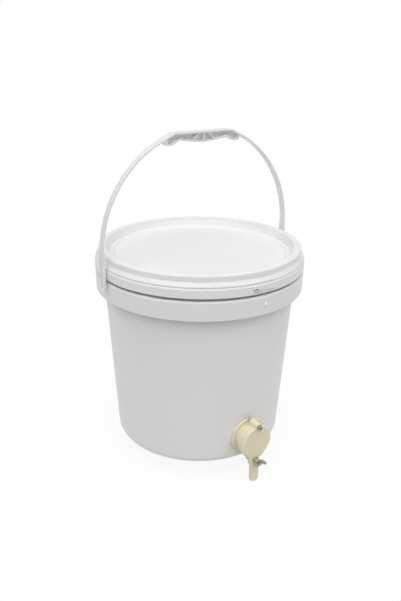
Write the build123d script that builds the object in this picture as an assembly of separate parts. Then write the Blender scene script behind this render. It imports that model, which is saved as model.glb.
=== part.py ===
from build123d import *
import math
import os

# Honey settling bucket: a tapered pail with a collar, a lift-off lid with a tear band,
# a swinging bail and a swing-shutter honey gate low on the front wall.
# Millimetres. The origin is the centre of the underside, +Z is up, the gate faces -Y
# and the bail turns on the X axis line through the collar.

# Pail
BASE_RADIUS = 132.3      # outside of the wall, where its slope meets the standing plane
WALL_TAPER = 3.5         # degrees from upright
WALL = 2.2
FLOOR = 3.0
BASE_CORNER = 13.0
COLLAR_BOTTOM = 251.4    # height of the collar's lower edge
COLLAR_HEIGHT = 28.6
COLLAR_REACH = 13.1      # collar's outside beyond the neck's outside
COLLAR_WALL = 2.4
COLLAR_EDGE = 1.6        # rounding of the collar's top edge
RIB_COUNT = 24           # stiffening ribs under the collar
RIB_WIDTH = 1.6
RIB_LIFT = 4.0           # ribs stop this far above the collar's lower edge
NECK_HEIGHT = 32.0       # from the collar's top to the mouth
PIVOT_DROP = 5.7         # bail's pivot below the collar's top
BEAD_REACH = 5.1         # turned-down mouth rim beyond the neck's outside
BEAD_HEIGHT = 9.0
BEAD_WALL = 2.2
BEAD_EDGE = 0.8
PIP_RADIUS = 2.0         # moulded dome on the collar over the gate
PIP_RISE = 15.0          # above the collar's lower edge

# Lid
LID_WALL = 1.9
LID_CLEAR = 0.6          # lid skirt to the mouth rim
PLUG_CLEAR = 0.4         # lid's inner wall to the mouth
SEAL = 1.8
SEAL_CLEAR = 0.4         # seal to the sides of its channel
RIM_ROUND = 3.3
PLUG_SLOPE = 4.6         # how far the inner wall leans in over its height
PLUG_DEPTH = 11.4        # from the rim down to the ledge
LEDGE_WIDTH = 8.0
LEDGE_STEP = 2.0
FLARE_OUT = 4.3          # flare below the skirt, outwards
FLARE_DROP = 5.4         # flare below the skirt, downwards
BAND_GAP = 4.0           # collar's top to the tear band's lower edge
BAND_HEIGHT = 14.2
BAND_BEVEL = 1.6         # height of the bevel along the tear band's upper edge
BAND_PROUD = 1.3         # tear band's face beyond the flare's lip
BAND_DRAFT = 0.1         # tear band's lower edge beyond its upper edge
BAND_WALL = 2.0
TEAR_GROOVE = 1.0        # groove that the band tears along, below the flare's edge
TEAR_GAP = 1.1           # height of that groove
FLARE_LIP = 1.5          # upright edge at the flare's foot
TAB_HALF_ANGLE = 6.6     # degrees, tear tab over the gate
TAB_SLIT = 0.9
TAB_RISE = 4.3           # slit's middle above the tear band's lower edge
TAB_SLANT = 6.2          # degrees, slit falls towards +X
NUB_ANGLE = -6.7         # degrees from the front, towards -X
NUB_WIDTH = 3.6
NUB_HEIGHT = 6.5
NUB_REACH = 1.5

# Bail
BAIL_CLEAR = 2.55        # bail legs to the lid's band or the collar
STRAP = 2.2
STRAP_WIDTH = 11.5
LUG_THICK = 3.6
LUG_TOP = 34.0           # height of the full lug section above the pivot
LUG_FADE = 20.0          # run over which the lug thins to the strap
LUG_FLANGE = 1.7         # raised border along each side of the lug's outer face
ARCH_LIFT = 47.7         # straight leg from the pivot to the start of the arch
PIN_RADIUS = 3.0
PIN_FIT = 0.05
PIN_DEPTH = 9.0          # pin inside the collar
GRIP_HALF = 61.0         # half length of the grip to its end hooks
GRIP_FLAT = 50.0         # half length of its flat top
GRIP_CROWN = 5.9         # flat top above the arch at the grip's ends
GRIP_WIDTH = 17.0
GRIP_DEPTH = 15.5        # flat top to the lip, mid length
LIP_ROUND = 14.0         # rounding of the lip's wave
FINGER_RISE = 5.0        # lip rises by this towards each end
HOOK_DROP = 1.5          # end hooks below the middle of the lip
GRIP_FLANGE = 2.4
GRIP_WEB = 2.6
GRIP_RIB = 1.8
RIB_TOP = 8.0            # diagonal ribs, half distance at the top flange
RIB_FOOT = 18.3          # and at the lip

# Honey gate, square to the sloping wall
GATE_HEIGHT = 44.0
BORE_RADIUS = 19.0
SPIGOT_WALL = 4.0
SPIGOT_LENGTH = 19.0     # behind the seat
SPIGOT_CLEAR = 0.5       # spigot to the hole through the seat
FLANGE_REACH = 6.0       # flange beyond the spigot
FLANGE_THICK = 3.4
FLANGE_EDGE = 1.0
SEAT_DEPTH = 1.6         # flat seat below the wall's outside
SEAT_CLEAR = 0.8         # flange to the seat's rim
SEAT_THICK = 4.2
GASKET = 1.8
GASKET_INSET = 1.0       # gaskets inside the flange's edge
GASKET_CLEAR = 0.6       # gaskets to the spigot
BARREL_WALL = 3.5
BARREL_LENGTH = 10.0
FACE_THICK = 6.0
DISC_LAP = 7.7           # shutter's disc beyond the bore
PIVOT_RISE = 28.0        # pivot above the outlet's axis
PIVOT_BOSS = 5.6
CLAMP_DROP = 33.0        # clamp screw below the outlet's axis
CLAMP_BOSS = 7.4
FILM = 0.15              # running gap on both sides of the shutter
SHUTTER_THICK = 6.9
BOSS_PROUD = 1.0
EAR_HALF = 12.5          # lower end of the plate towards +X
HOOK_HALF = 9.6          # and its hook towards -X
SLOT_HALF = 3.0
TAIL_HALF = 7.8
TAIL_DROP = 71.7         # tail's end below the outlet's axis
TAIL_LEAN = 2.6          # tail's end leans out
TAIL_THICK = 4.8
TAIL_CORNER = 2.4        # rounding of the tail's end in front view
TAIL_EDGE = 1.0          # and in side view
SCREW_RADIUS = 2.5
SCREW_FIT = 0.05
HEAD_RADIUS = 5.0
HEAD_HEIGHT = 3.0
WASHER = 1.1
PIVOT_WASHER_RADIUS = 4.9
CLAMP_WASHER_RADIUS = 6.0
NUT_FLATS = 8.0
NUT_HEIGHT = 4.0
HUB_RADIUS = 5.2
HUB_TIP_RADIUS = 4.2
HUB_HEIGHT = 6.5
WING_SPAN = 10.4
WING_HEIGHT = 15.0
WING_THICK = 2.2
SCREW_PROUD = 2.0        # screw ends beyond their nuts
LOCKNUT_FIT = 0.1
LOCKNUT_WALL = 7.4
LOCKNUT_LENGTH = 9.0
LOCKNUT_NOTCHES = 8
NOTCH_RADIUS = 3.2
NOTCH_DEPTH = 2.2

SLOPE = math.tan(math.radians(WALL_TAPER))


spigot_radius = BORE_RADIUS + SPIGOT_WALL
hole_radius = spigot_radius + SPIGOT_CLEAR
flange_radius = spigot_radius + FLANGE_REACH
seat_radius = flange_radius + SEAT_CLEAR
gasket_radius = flange_radius - GASKET_INSET
gasket_hole = spigot_radius + GASKET_CLEAR
barrel_radius = BORE_RADIUS + BARREL_WALL
disc_radius = BORE_RADIUS + DISC_LAP
locknut_bore = spigot_radius + LOCKNUT_FIT
locknut_radius = locknut_bore + LOCKNUT_WALL


def wall_radius(z):
    return BASE_RADIUS + z * SLOPE


collar_top = COLLAR_BOTTOM + COLLAR_HEIGHT
pivot_z = collar_top - PIVOT_DROP
neck_radius = wall_radius(COLLAR_BOTTOM)
mouth_radius = neck_radius - WALL
collar_radius = neck_radius + COLLAR_REACH
bead_radius = neck_radius + BEAD_REACH
mouth_z = collar_top + NECK_HEIGHT
lid_top = mouth_z + SEAL + LID_WALL
skirt_radius = bead_radius + LID_CLEAR + LID_WALL
band_bottom = collar_top + BAND_GAP
band_top = band_bottom + BAND_HEIGHT
flare_radius = skirt_radius + FLARE_OUT
band_radius = flare_radius + BAND_PROUD


def ring_profile(points, radii):
    return revolve(Plane.XZ * make_face(FilletPolyline(*points, radius=radii, close=True)), Axis.Z)


def ring(outer, inner, height):
    return extrude(Circle(outer) - Circle(inner), height)


# The gate's own frame: origin on the seat, local Y up the wall, local Z outwards
gate_plane = Plane(
    origin=(
        0,
        -wall_radius(GATE_HEIGHT) + SEAT_DEPTH * math.cos(math.radians(WALL_TAPER)),
        GATE_HEIGHT + SEAT_DEPTH * math.sin(math.radians(WALL_TAPER)),
    ),
    x_dir=(1, 0, 0),
    z_dir=(0, -math.cos(math.radians(WALL_TAPER)), -math.sin(math.radians(WALL_TAPER))),
)


# PAIL
pail_outside = ring_profile(
    [
        (0, 0),
        (BASE_RADIUS, 0),
        (neck_radius, COLLAR_BOTTOM),
        (neck_radius, mouth_z),
        (0, mouth_z),
    ],
    [0, BASE_CORNER, 0, 0, 0],
)
pail_inside = ring_profile(
    [
        (0, FLOOR),
        (BASE_RADIUS - WALL + FLOOR * SLOPE, FLOOR),
        (mouth_radius, COLLAR_BOTTOM),
        (mouth_radius, mouth_z + 1),
        (0, mouth_z + 1),
    ],
    [0, BASE_CORNER - WALL, 0, 0, 0],
)
bead = ring_profile(
    [
        (mouth_radius + WALL / 2, mouth_z - BEAD_WALL),
        (bead_radius - BEAD_WALL, mouth_z - BEAD_WALL),
        (bead_radius - BEAD_WALL, mouth_z - BEAD_HEIGHT),
        (bead_radius, mouth_z - BEAD_HEIGHT),
        (bead_radius, mouth_z),
        (mouth_radius + WALL / 2, mouth_z),
    ],
    [0, 0, 0, 0, BEAD_EDGE, 0],
)
collar = ring_profile(
    [
        (neck_radius - WALL / 2, collar_top - COLLAR_WALL),
        (collar_radius - COLLAR_WALL, collar_top - COLLAR_WALL),
        (collar_radius - COLLAR_WALL, COLLAR_BOTTOM),
        (collar_radius - 0.4, COLLAR_BOTTOM),
        (collar_radius, collar_top),
        (neck_radius - WALL / 2, collar_top),
    ],
    [0, 0, 0, 0, COLLAR_EDGE, 0],
)
rib_low = COLLAR_BOTTOM + RIB_LIFT
rib = extrude(
    Plane.XZ
    * Polygon(
        (neck_radius - WALL / 2, rib_low + 4),
        (collar_radius - COLLAR_WALL / 2, rib_low),
        (collar_radius - COLLAR_WALL / 2, collar_top - COLLAR_WALL / 2),
        (neck_radius - WALL / 2, collar_top - COLLAR_WALL / 2),
        align=None,
    ),
    RIB_WIDTH / 2,
    both=True,
)
rib_step = 360 / RIB_COUNT
ribs = [Rot(0, 0, rib_step * (i + 0.5)) * rib for i in range(RIB_COUNT)]

# A pivot boss behind the collar on each side takes the bail's stub pin
boss_start = neck_radius - WALL / 2
boss_length = collar_radius - COLLAR_WALL / 2 - boss_start
boss_radius = PIN_RADIUS + 2.0
boss = Pos(boss_start, 0, pivot_z) * Rot(0, 90, 0) * extrude(Circle(boss_radius), boss_length)
pin_tip = collar_radius - PIN_DEPTH
pin_hole = (
    Pos(pin_tip - 0.5, 0, pivot_z)
    * Rot(0, 90, 0)
    * extrude(Circle(PIN_RADIUS + PIN_FIT), PIN_DEPTH + 5)
)
pip = Pos(0, -collar_radius + 0.8, COLLAR_BOTTOM + PIP_RISE) * Sphere(PIP_RADIUS)

seat_block = gate_plane * Pos(0, 0, -SEAT_THICK) * extrude(Circle(seat_radius), SEAT_THICK)
seat_face = gate_plane * extrude(Circle(seat_radius), 4 * SEAT_DEPTH)
gate_hole = gate_plane * extrude(Circle(hole_radius), 2 * SEAT_THICK, both=True)

bucket_shell = pail_outside - pail_inside + bead + collar + ribs
bucket_shell = bucket_shell + boss + Rot(0, 0, 180) * boss + pip
bucket_shell = bucket_shell - pin_hole - Rot(0, 0, 180) * pin_hole
bucket_shell = bucket_shell - seat_face + seat_block - gate_hole


# LID
plug_top_radius = mouth_radius - PLUG_CLEAR - LID_WALL
ledge_radius = plug_top_radius - PLUG_SLOPE
ledge_z = lid_top - PLUG_DEPTH
panel_radius = ledge_radius - LEDGE_WIDTH
panel_z = ledge_z - LEDGE_STEP
flare_foot = band_top + TEAR_GAP + FLARE_LIP
flare_head = flare_foot + FLARE_DROP
channel_radius = skirt_radius - LID_WALL
groove_radius = flare_radius - TEAR_GROOVE
lid = ring_profile(
    [
        (0, panel_z),
        (panel_radius, panel_z),
        (panel_radius + LEDGE_STEP / 2, ledge_z),
        (ledge_radius, ledge_z),
        (plug_top_radius, lid_top - RIM_ROUND),
        (plug_top_radius + 1.0, lid_top),
        (skirt_radius, lid_top),
        (skirt_radius, flare_head),
        (flare_radius, flare_foot),
        (flare_radius, flare_foot - FLARE_LIP),
        (groove_radius, flare_foot - FLARE_LIP),
        (groove_radius, band_top),
        (flare_radius, band_top),
        (band_radius, band_top - BAND_BEVEL),
        (band_radius + BAND_DRAFT, band_bottom),
        (band_radius - BAND_WALL, band_bottom),
        (band_radius - BAND_WALL, band_top - BAND_BEVEL),
        (flare_radius - LID_WALL, band_top - 0.5),
        (flare_radius - LID_WALL, flare_foot - 0.8),
        (channel_radius, flare_head - 0.8),
        (channel_radius, mouth_z + SEAL),
        (mouth_radius - PLUG_CLEAR, mouth_z + SEAL),
        (mouth_radius - PLUG_CLEAR, lid_top - RIM_ROUND - 1.2),
        (ledge_radius + LID_WALL, ledge_z - LID_WALL),
        (panel_radius + LEDGE_STEP, ledge_z - LID_WALL),
        (panel_radius + LEDGE_STEP / 2, panel_z - LID_WALL),
        (0, panel_z - LID_WALL),
    ],
    [0, 0, 0, RIM_ROUND / 2, 0, RIM_ROUND / 2, RIM_ROUND, RIM_ROUND / 2, 0] + 18 * [0],
)

# Tear tab: a slanting slit in the band over the gate, with a finger nub at its -X end
tab_mid = band_bottom + TAB_RISE
slit = Pos(0, 0, tab_mid) * Rot(0, TAB_SLANT, 0) * ring(band_radius + 6, band_radius - BAND_WALL - 3, TAB_SLIT)
tab_wedge = Rot(0, 0, -90) * extrude(
    Polygon(
        (0, 0),
        (2 * band_radius, -2 * band_radius * math.tan(math.radians(TAB_HALF_ANGLE))),
        (2 * band_radius, 2 * band_radius * math.tan(math.radians(TAB_HALF_ANGLE))),
        align=None,
    ),
    mouth_z,
)
nub = (
    Rot(0, 0, NUB_ANGLE)
    * Pos(0, -band_radius - NUB_REACH / 2 + 0.8, band_top - NUB_HEIGHT / 2 - 0.2)
    * Box(NUB_WIDTH, NUB_REACH + 1.6, NUB_HEIGHT)
)
nub = fillet(nub.edges().filter_by(Axis.Z), 0.7)
lid = lid - (slit & tab_wedge) + nub

lid_seal = Pos(0, 0, mouth_z) * ring(channel_radius - SEAL_CLEAR, mouth_radius + SEAL_CLEAR, SEAL)


# BAIL, drawn in the XZ plane with heights above the pivot line
lug_inner = max(band_radius + BAND_DRAFT, collar_radius) + BAIL_CLEAR
leg_mid = lug_inner + LUG_THICK / 2
lug_outer = lug_inner + LUG_THICK
leg_inner = leg_mid - STRAP / 2
leg_outer = leg_mid + STRAP / 2
lug_foot = STRAP_WIDTH / 2
arch_inner = leg_inner
arch_outer = leg_outer


def arch_height(radius, across):
    return ARCH_LIFT + math.sqrt(radius**2 - across**2)


grip_top = arch_height(arch_outer, GRIP_HALF) + GRIP_CROWN
shoulder = GRIP_HALF + 3.0
lip = grip_top - GRIP_DEPTH
hook = lip - HOOK_DROP
hook_back = GRIP_HALF + 5.0


def both_sides(face):
    return face + mirror(face, Plane.YZ)


arch_band = Pos(0, ARCH_LIFT) * (Circle(arch_outer) - Circle(arch_inner))
arch_keep = Pos(0, ARCH_LIFT) * Rectangle(
    2.2 * arch_outer, 1.2 * arch_outer, align=(Align.CENTER, Align.MIN)
)
leg = Polygon(
    (lug_inner, -lug_foot),
    (lug_outer, -lug_foot),
    (lug_outer, LUG_TOP),
    (leg_outer, LUG_TOP + LUG_FADE),
    (leg_outer - 0.3, LUG_TOP + LUG_FADE + 6),
    (leg_inner + 0.3, LUG_TOP + LUG_FADE + 6),
    (leg_inner, LUG_TOP + LUG_FADE),
    (lug_inner, LUG_TOP),
    align=None,
)
grip_lower = [
    (0, lip),
    (GRIP_HALF * 0.40, lip + FINGER_RISE * 0.45),
    (GRIP_HALF * 0.68, lip + FINGER_RISE),
    (GRIP_HALF * 0.86, hook + 0.6),
    (GRIP_HALF, hook),
]
grip_right = make_face(
    FilletPolyline(
        (0, grip_top),
        (GRIP_FLAT, grip_top),
        (shoulder, arch_height(arch_outer, shoulder) - 0.4),
        (hook_back, arch_height(arch_inner, hook_back) + 0.4),
        *reversed(grip_lower),
        radius=[0, 4.0, 0, 1.0, 1.5, 3.0, 6.0, LIP_ROUND, 0],
        close=True,
    )
)
flange_right = make_face(
    FilletPolyline(
        (0, grip_top - GRIP_FLANGE),
        (GRIP_FLAT - 0.8, grip_top - GRIP_FLANGE),
        (shoulder - 2.5, arch_height(arch_inner, shoulder - 2.5)),
        (GRIP_HALF - 0.5, hook + GRIP_FLANGE),
        (GRIP_HALF * 0.86 + 0.6, hook + GRIP_FLANGE + 0.3),
        (GRIP_HALF * 0.68, lip + FINGER_RISE + GRIP_FLANGE),
        (GRIP_HALF * 0.40, lip + FINGER_RISE * 0.45 + GRIP_FLANGE),
        (0, lip + GRIP_FLANGE),
        radius=[0, 2.0, 1.0, 1.0, 1.0, 3.0, 10.0, 0],
        close=True,
    )
)
rib_mid = (grip_top + lip) / 2
rib_lean = math.degrees(math.atan2(RIB_FOOT - RIB_TOP, GRIP_DEPTH))
cross_rib = Pos((RIB_TOP + RIB_FOOT) / 2, rib_mid) * Rot(0, 0, rib_lean) * Rectangle(GRIP_RIB, 2 * GRIP_DEPTH)
pocket_sketch = both_sides(flange_right) - Pos(0, rib_mid) * Rectangle(GRIP_RIB, 2 * GRIP_DEPTH)
pocket_sketch = pocket_sketch - both_sides(cross_rib)
front = (arch_band & arch_keep) - Pos(0, grip_top) * Rectangle(2 * GRIP_HALF, 4 * GRIP_DEPTH)
front = front + both_sides(leg) + both_sides(grip_right)

side_half = [
    (STRAP_WIDTH / 2, hook - 14),
    (GRIP_WIDTH / 2, grip_top - GRIP_FLANGE - 1),
    (GRIP_WIDTH / 2, grip_top + 2),
]
side_outline = Polygon(
    (STRAP_WIDTH / 2, 0),
    *side_half,
    *[(-y, z) for y, z in reversed(side_half)],
    (-STRAP_WIDTH / 2, 0),
    align=None,
) + Circle(STRAP_WIDTH / 2)

bail_plane = Plane(origin=(0, 0, pivot_z), x_dir=(1, 0, 0), z_dir=(0, -1, 0))
side_plane = Plane(origin=(0, 0, pivot_z), x_dir=(0, 1, 0), z_dir=(1, 0, 0))
bail_handle = extrude(bail_plane * front, GRIP_WIDTH, both=True)
bail_handle = bail_handle & extrude(side_plane * side_outline, 2 * lug_outer, both=True)

pocket = extrude(bail_plane * Pos(0, 0, GRIP_WEB / 2) * pocket_sketch, GRIP_WIDTH)
bail_handle = bail_handle - pocket - mirror(pocket, Plane.XZ)
groove_face = Pos(leg_outer, 0) * Rectangle(LUG_THICK, LUG_TOP + LUG_FADE, align=(Align.MIN, Align.MIN))
groove = extrude(bail_plane * both_sides(groove_face), STRAP_WIDTH / 2 - LUG_FLANGE, both=True)
bail_handle = bail_handle - groove
pin = Pos(pin_tip, 0, pivot_z) * Rot(0, 90, 0) * extrude(Circle(PIN_RADIUS), leg_mid - pin_tip)
bail_handle = bail_handle + pin + Rot(0, 0, 180) * pin


# HONEY GATE, drawn in its own frame
flange_back = GASKET
flange_front = flange_back + FLANGE_THICK
face_back = flange_front + BARREL_LENGTH
face_front = face_back + FACE_THICK
shutter_back = face_front + FILM
shutter_front = shutter_back + SHUTTER_THICK
boss_front = shutter_front + BOSS_PROUD


def teardrop(top_radius, foot):
    outline = Circle(disc_radius) + Pos(0, PIVOT_RISE) * Circle(top_radius) + foot
    return make_hull(outline.edges())


def at_pivot(shape):
    return Pos(0, PIVOT_RISE) * shape


def at_clamp(shape):
    return Pos(0, -CLAMP_DROP) * shape


def lifted(face, start, end):
    return Pos(0, 0, start) * extrude(face, end - start)


body_face = teardrop(PIVOT_BOSS, at_clamp(Circle(CLAMP_BOSS)))
screw_hole = SCREW_RADIUS + SCREW_FIT
pivot_back = flange_front + 6.0
clamp_back = face_back - 3.0
gate_local = lifted(Circle(spigot_radius), -SPIGOT_LENGTH, flange_back)
gate_local += lifted(Circle(flange_radius), flange_back, flange_front)
gate_local += lifted(Circle(barrel_radius), flange_front, face_back)
gate_local += lifted(body_face, face_back, face_front)
gate_local += lifted(at_pivot(Circle(PIVOT_BOSS)), pivot_back, face_front)
gate_local += lifted(at_clamp(Circle(CLAMP_BOSS)), clamp_back, face_front)
gate_local -= lifted(Circle(BORE_RADIUS), -SPIGOT_LENGTH - 1, face_front + 1)
gate_local -= lifted(at_pivot(Circle(screw_hole)), pivot_back - 1, face_front + 1)
gate_local -= lifted(at_clamp(Circle(screw_hole)), clamp_back - 1, face_front + 1)
flange_edges = gate_local.edges().filter_by(GeomType.CIRCLE)
flange_edges = flange_edges.filter_by(lambda e: abs(e.radius - flange_radius) < 0.01)
flange_edges = flange_edges.filter_by(lambda e: abs(e.center().Z - flange_front) < 0.01)
gate_local = fillet(flange_edges, FLANGE_EDGE)

outer_gasket = gate_plane * ring(gasket_radius, gasket_hole, GASKET)
inner_gasket = gate_plane * Pos(0, 0, -SEAT_THICK - GASKET) * ring(gasket_radius, gasket_hole, GASKET)

locknut_face = Circle(locknut_radius) - Circle(locknut_bore)
notch_centre = locknut_radius + NOTCH_RADIUS - NOTCH_DEPTH
locknut_face -= PolarLocations(notch_centre, LOCKNUT_NOTCHES) * Circle(NOTCH_RADIUS)
locknut_front = -SEAT_THICK - GASKET
gate_locknut = gate_plane * lifted(locknut_face, locknut_front - LOCKNUT_LENGTH, locknut_front)
gate_body = gate_plane * gate_local

# Shutter: a plate that turns on the pivot screw. Its slot hooks over the clamp screw from
# one side, so the tail swings towards -X when the wing nut is loose.
hook_radius = PIVOT_RISE + CLAMP_DROP
ear_low = -CLAMP_DROP + SLOT_HALF
ear_feet = Pos(EAR_HALF - 3, ear_low + 3.4) * Circle(3) + Pos(3 - HOOK_HALF, ear_low + 3.4) * Circle(3)
plate_face = teardrop(PIVOT_BOSS, ear_feet)
tail_head = -CLAMP_DROP - SLOT_HALF
hook_strip = Polygon(
    (-HOOK_HALF, ear_low + 6),
    (-HOOK_HALF, tail_head - 1),
    (-TAIL_HALF, tail_head - 6),
    (0, tail_head - 6),
    (0, ear_low + 6),
    align=None,
)
tail_face = make_face(
    FilletPolyline(
        (-TAIL_HALF, tail_head + 1),
        (-TAIL_HALF, -TAIL_DROP),
        (TAIL_HALF, -TAIL_DROP),
        (TAIL_HALF, tail_head),
        radius=[0, TAIL_CORNER, TAIL_CORNER, 1.0],
        close=True,
    )
)
slot_face = at_clamp(Circle(SLOT_HALF))
slot_arc = at_pivot(Circle(hook_radius + SLOT_HALF) - Circle(hook_radius - SLOT_HALF))
slot_arc = slot_arc & Pos(0, -CLAMP_DROP) * Rectangle(60, 60, align=(Align.MIN, Align.CENTER))
shutter_face = plate_face + hook_strip - slot_face - slot_arc
tail_end = -TAIL_DROP
tail_back = shutter_front - TAIL_THICK
tail_side = make_face(
    FilletPolyline(
        (tail_back, tail_head + 0.5),
        (tail_back, tail_head - 10),
        (tail_back + TAIL_LEAN, tail_end),
        (shutter_front + TAIL_LEAN, tail_end),
        (shutter_front, tail_head - 12),
        (shutter_front, tail_head + 0.5),
        radius=[0, 6.0, TAIL_EDGE, TAIL_EDGE, 6.0, 0],
        close=True,
    )
)
tail_plane = Plane(origin=(0, 0, 0), x_dir=(0, 0, 1), z_dir=(-1, 0, 0))
tail_solid = extrude(tail_plane * tail_side, TAIL_HALF, both=True)
tail_solid = tail_solid & lifted(tail_face - slot_arc - slot_face, 0, shutter_front + 3 * TAIL_LEAN)
shutter_local = lifted(shutter_face, shutter_back, shutter_front) + tail_solid
shutter_local += lifted(at_pivot(Circle(PIVOT_BOSS)), shutter_back, boss_front)
shutter_local -= lifted(at_pivot(Circle(screw_hole)), 0, boss_front + 1)
gate_shutter = gate_plane * shutter_local

# Pivot screw, washer and nut
pivot_nut_back = boss_front + FILM + WASHER
pivot_end = pivot_nut_back + NUT_HEIGHT + SCREW_PROUD
pivot_local = lifted(at_pivot(Circle(HEAD_RADIUS)), pivot_back - HEAD_HEIGHT, pivot_back)
pivot_local += lifted(at_pivot(Circle(SCREW_RADIUS)), pivot_back, pivot_end)
pivot_screw = gate_plane * pivot_local
pivot_washer = gate_plane * lifted(
    at_pivot(Circle(PIVOT_WASHER_RADIUS) - Circle(screw_hole)), boss_front + FILM, pivot_nut_back
)
nut_face = RegularPolygon(NUT_FLATS / 2, 6, major_radius=False) - Circle(screw_hole)
pivot_nut = gate_plane * lifted(at_pivot(nut_face), pivot_nut_back, pivot_nut_back + NUT_HEIGHT)

# Clamp screw, washer and wing nut
wing_back = shutter_front + FILM + WASHER
clamp_end = wing_back + HUB_HEIGHT + 3 * SCREW_PROUD
clamp_local = lifted(at_clamp(RegularPolygon(NUT_FLATS / 2, 6, major_radius=False)), clamp_back - HEAD_HEIGHT, clamp_back)
clamp_local += lifted(at_clamp(Circle(SCREW_RADIUS)), clamp_back, clamp_end)
clamp_screw = gate_plane * clamp_local
clamp_washer = gate_plane * lifted(
    at_clamp(Circle(CLAMP_WASHER_RADIUS) - Circle(screw_hole)), shutter_front + FILM, wing_back
)
hub = Pos(0, 0, HUB_HEIGHT / 2) * Cone(HUB_RADIUS, HUB_TIP_RADIUS, HUB_HEIGHT)
wing_face = make_face(
    FilletPolyline(
        (HUB_TIP_RADIUS - 1.6, 1.0),
        (HUB_RADIUS + 0.6, 1.0),
        (WING_SPAN - 0.6, HUB_HEIGHT),
        (WING_SPAN, WING_HEIGHT),
        (HUB_RADIUS + 0.4, WING_HEIGHT),
        (HUB_TIP_RADIUS - 1.6, HUB_HEIGHT),
        radius=[0, 1.5, 3.0, 2.6, 2.4, 0],
        close=True,
    )
)
wing = extrude(Plane.XZ * wing_face, WING_THICK / 2, both=True)
wing_local = hub + wing + mirror(wing, Plane.YZ) - Cylinder(screw_hole, 4 * WING_HEIGHT)
wing_nut = gate_plane * Pos(0, -CLAMP_DROP, wing_back) * wing_local

nodes = {
    "bucket_shell": bucket_shell,
    "lid": lid,
    "lid_seal": lid_seal,
    "bail_handle": bail_handle,
    "gate_body": gate_body,
    "outer_gasket": outer_gasket,
    "inner_gasket": inner_gasket,
    "gate_locknut": gate_locknut,
    "gate_shutter": gate_shutter,
    "pivot_screw": pivot_screw,
    "pivot_washer": pivot_washer,
    "pivot_nut": pivot_nut,
    "clamp_screw": clamp_screw,
    "clamp_washer": clamp_washer,
    "wing_nut": wing_nut,
}
os.makedirs("parts", exist_ok=True)
for name, shape in nodes.items():
    export_step(shape, "parts/" + name + ".step")

pivot_point = gate_plane.from_local_coords((0, PIVOT_RISE, 0))
clamp_point = gate_plane.from_local_coords((0, -CLAMP_DROP, 0))
print("bail pivot height", round(pivot_z, 3))
print("shutter pivot", [round(c, 3) for c in pivot_point])
print("clamp screw", [round(c, 3) for c in clamp_point])
print("gate outward", [round(c, 5) for c in gate_plane.z_dir])
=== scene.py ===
import math
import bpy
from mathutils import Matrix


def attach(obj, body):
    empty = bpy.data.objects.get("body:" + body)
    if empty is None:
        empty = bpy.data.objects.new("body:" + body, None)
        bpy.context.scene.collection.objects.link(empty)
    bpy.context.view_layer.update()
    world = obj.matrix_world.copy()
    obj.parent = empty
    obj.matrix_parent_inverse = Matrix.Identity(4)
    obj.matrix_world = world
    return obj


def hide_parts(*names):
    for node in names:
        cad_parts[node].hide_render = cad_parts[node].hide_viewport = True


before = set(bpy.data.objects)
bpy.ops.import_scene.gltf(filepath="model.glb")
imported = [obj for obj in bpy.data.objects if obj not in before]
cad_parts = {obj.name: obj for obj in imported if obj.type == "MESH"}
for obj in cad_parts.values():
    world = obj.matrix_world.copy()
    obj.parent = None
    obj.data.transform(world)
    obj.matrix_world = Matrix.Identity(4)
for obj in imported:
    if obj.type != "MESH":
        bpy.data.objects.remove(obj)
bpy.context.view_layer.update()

from types import SimpleNamespace

import bmesh
import bpy
from bpy.props import FloatProperty, FloatVectorProperty, IntProperty, PointerProperty
from bpy.types import Operator, Panel, PropertyGroup
from mathutils import Matrix, Vector

bl_info = {
    "name": "Honey settling bucket",
    "version": (1, 0, 0),
    "blender": (4, 5, 0),
    "location": "View3D > Sidebar > Bucket",
    "description": "Builds a lidded pail with a swinging bail and a swing-shutter honey gate",
    "category": "Object",
}

MM = 0.001
# A cutter or a joined form reaches this far past a face.
PAST = 1.0 * MM
# A form that should not share a face with its neighbour stays this far inside it.
HAIR = 0.02 * MM
# Points closer than this become one: in any mesh, in a turned form, before edges are rounded.
WELD, SEAM, CLEAN = 2e-6, 4e-6, 5e-6
# Longest step along a rounding, and the bend below which two faces count as one.
ARC_STEP, FLAT = math.radians(15), math.radians(0.4)
# Stands up an outline that is drawn lying down.
UPRIGHT = Matrix(((1, 0, 0, 0), (0, 0, -1, 0), (0, 1, 0, 0), (0, 0, 0, 1)))
# Light of the room: the sine of the height above level, and the strength there.
LAMP_LIGHT = ((0.1, 0.0), (0.3, 0.07), (0.5, 0.34), (0.675, 0.75), (0.815, 1.0), (0.92, 0.97), (0.985, 0.41))
BEHIND_LIGHT = ((0.1, 1.0), (0.3, 0.81), (0.5, 0.34), (0.675, 0.0))


def length(millimetres, text):
    return FloatProperty(description=text, default=millimetres * MM, unit="LENGTH", precision=4)


def angle(degrees, text):
    return FloatProperty(description=text, default=math.radians(degrees), subtype="ANGLE")


def colour(value, text):
    return FloatVectorProperty(description=text, default=value, size=3, min=0, max=1, subtype="COLOR")


def strength(value, text):
    return FloatProperty(description=text, default=value, min=0)


def number(value, text, least=4):
    return IntProperty(description=text, default=value, min=least)


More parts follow.
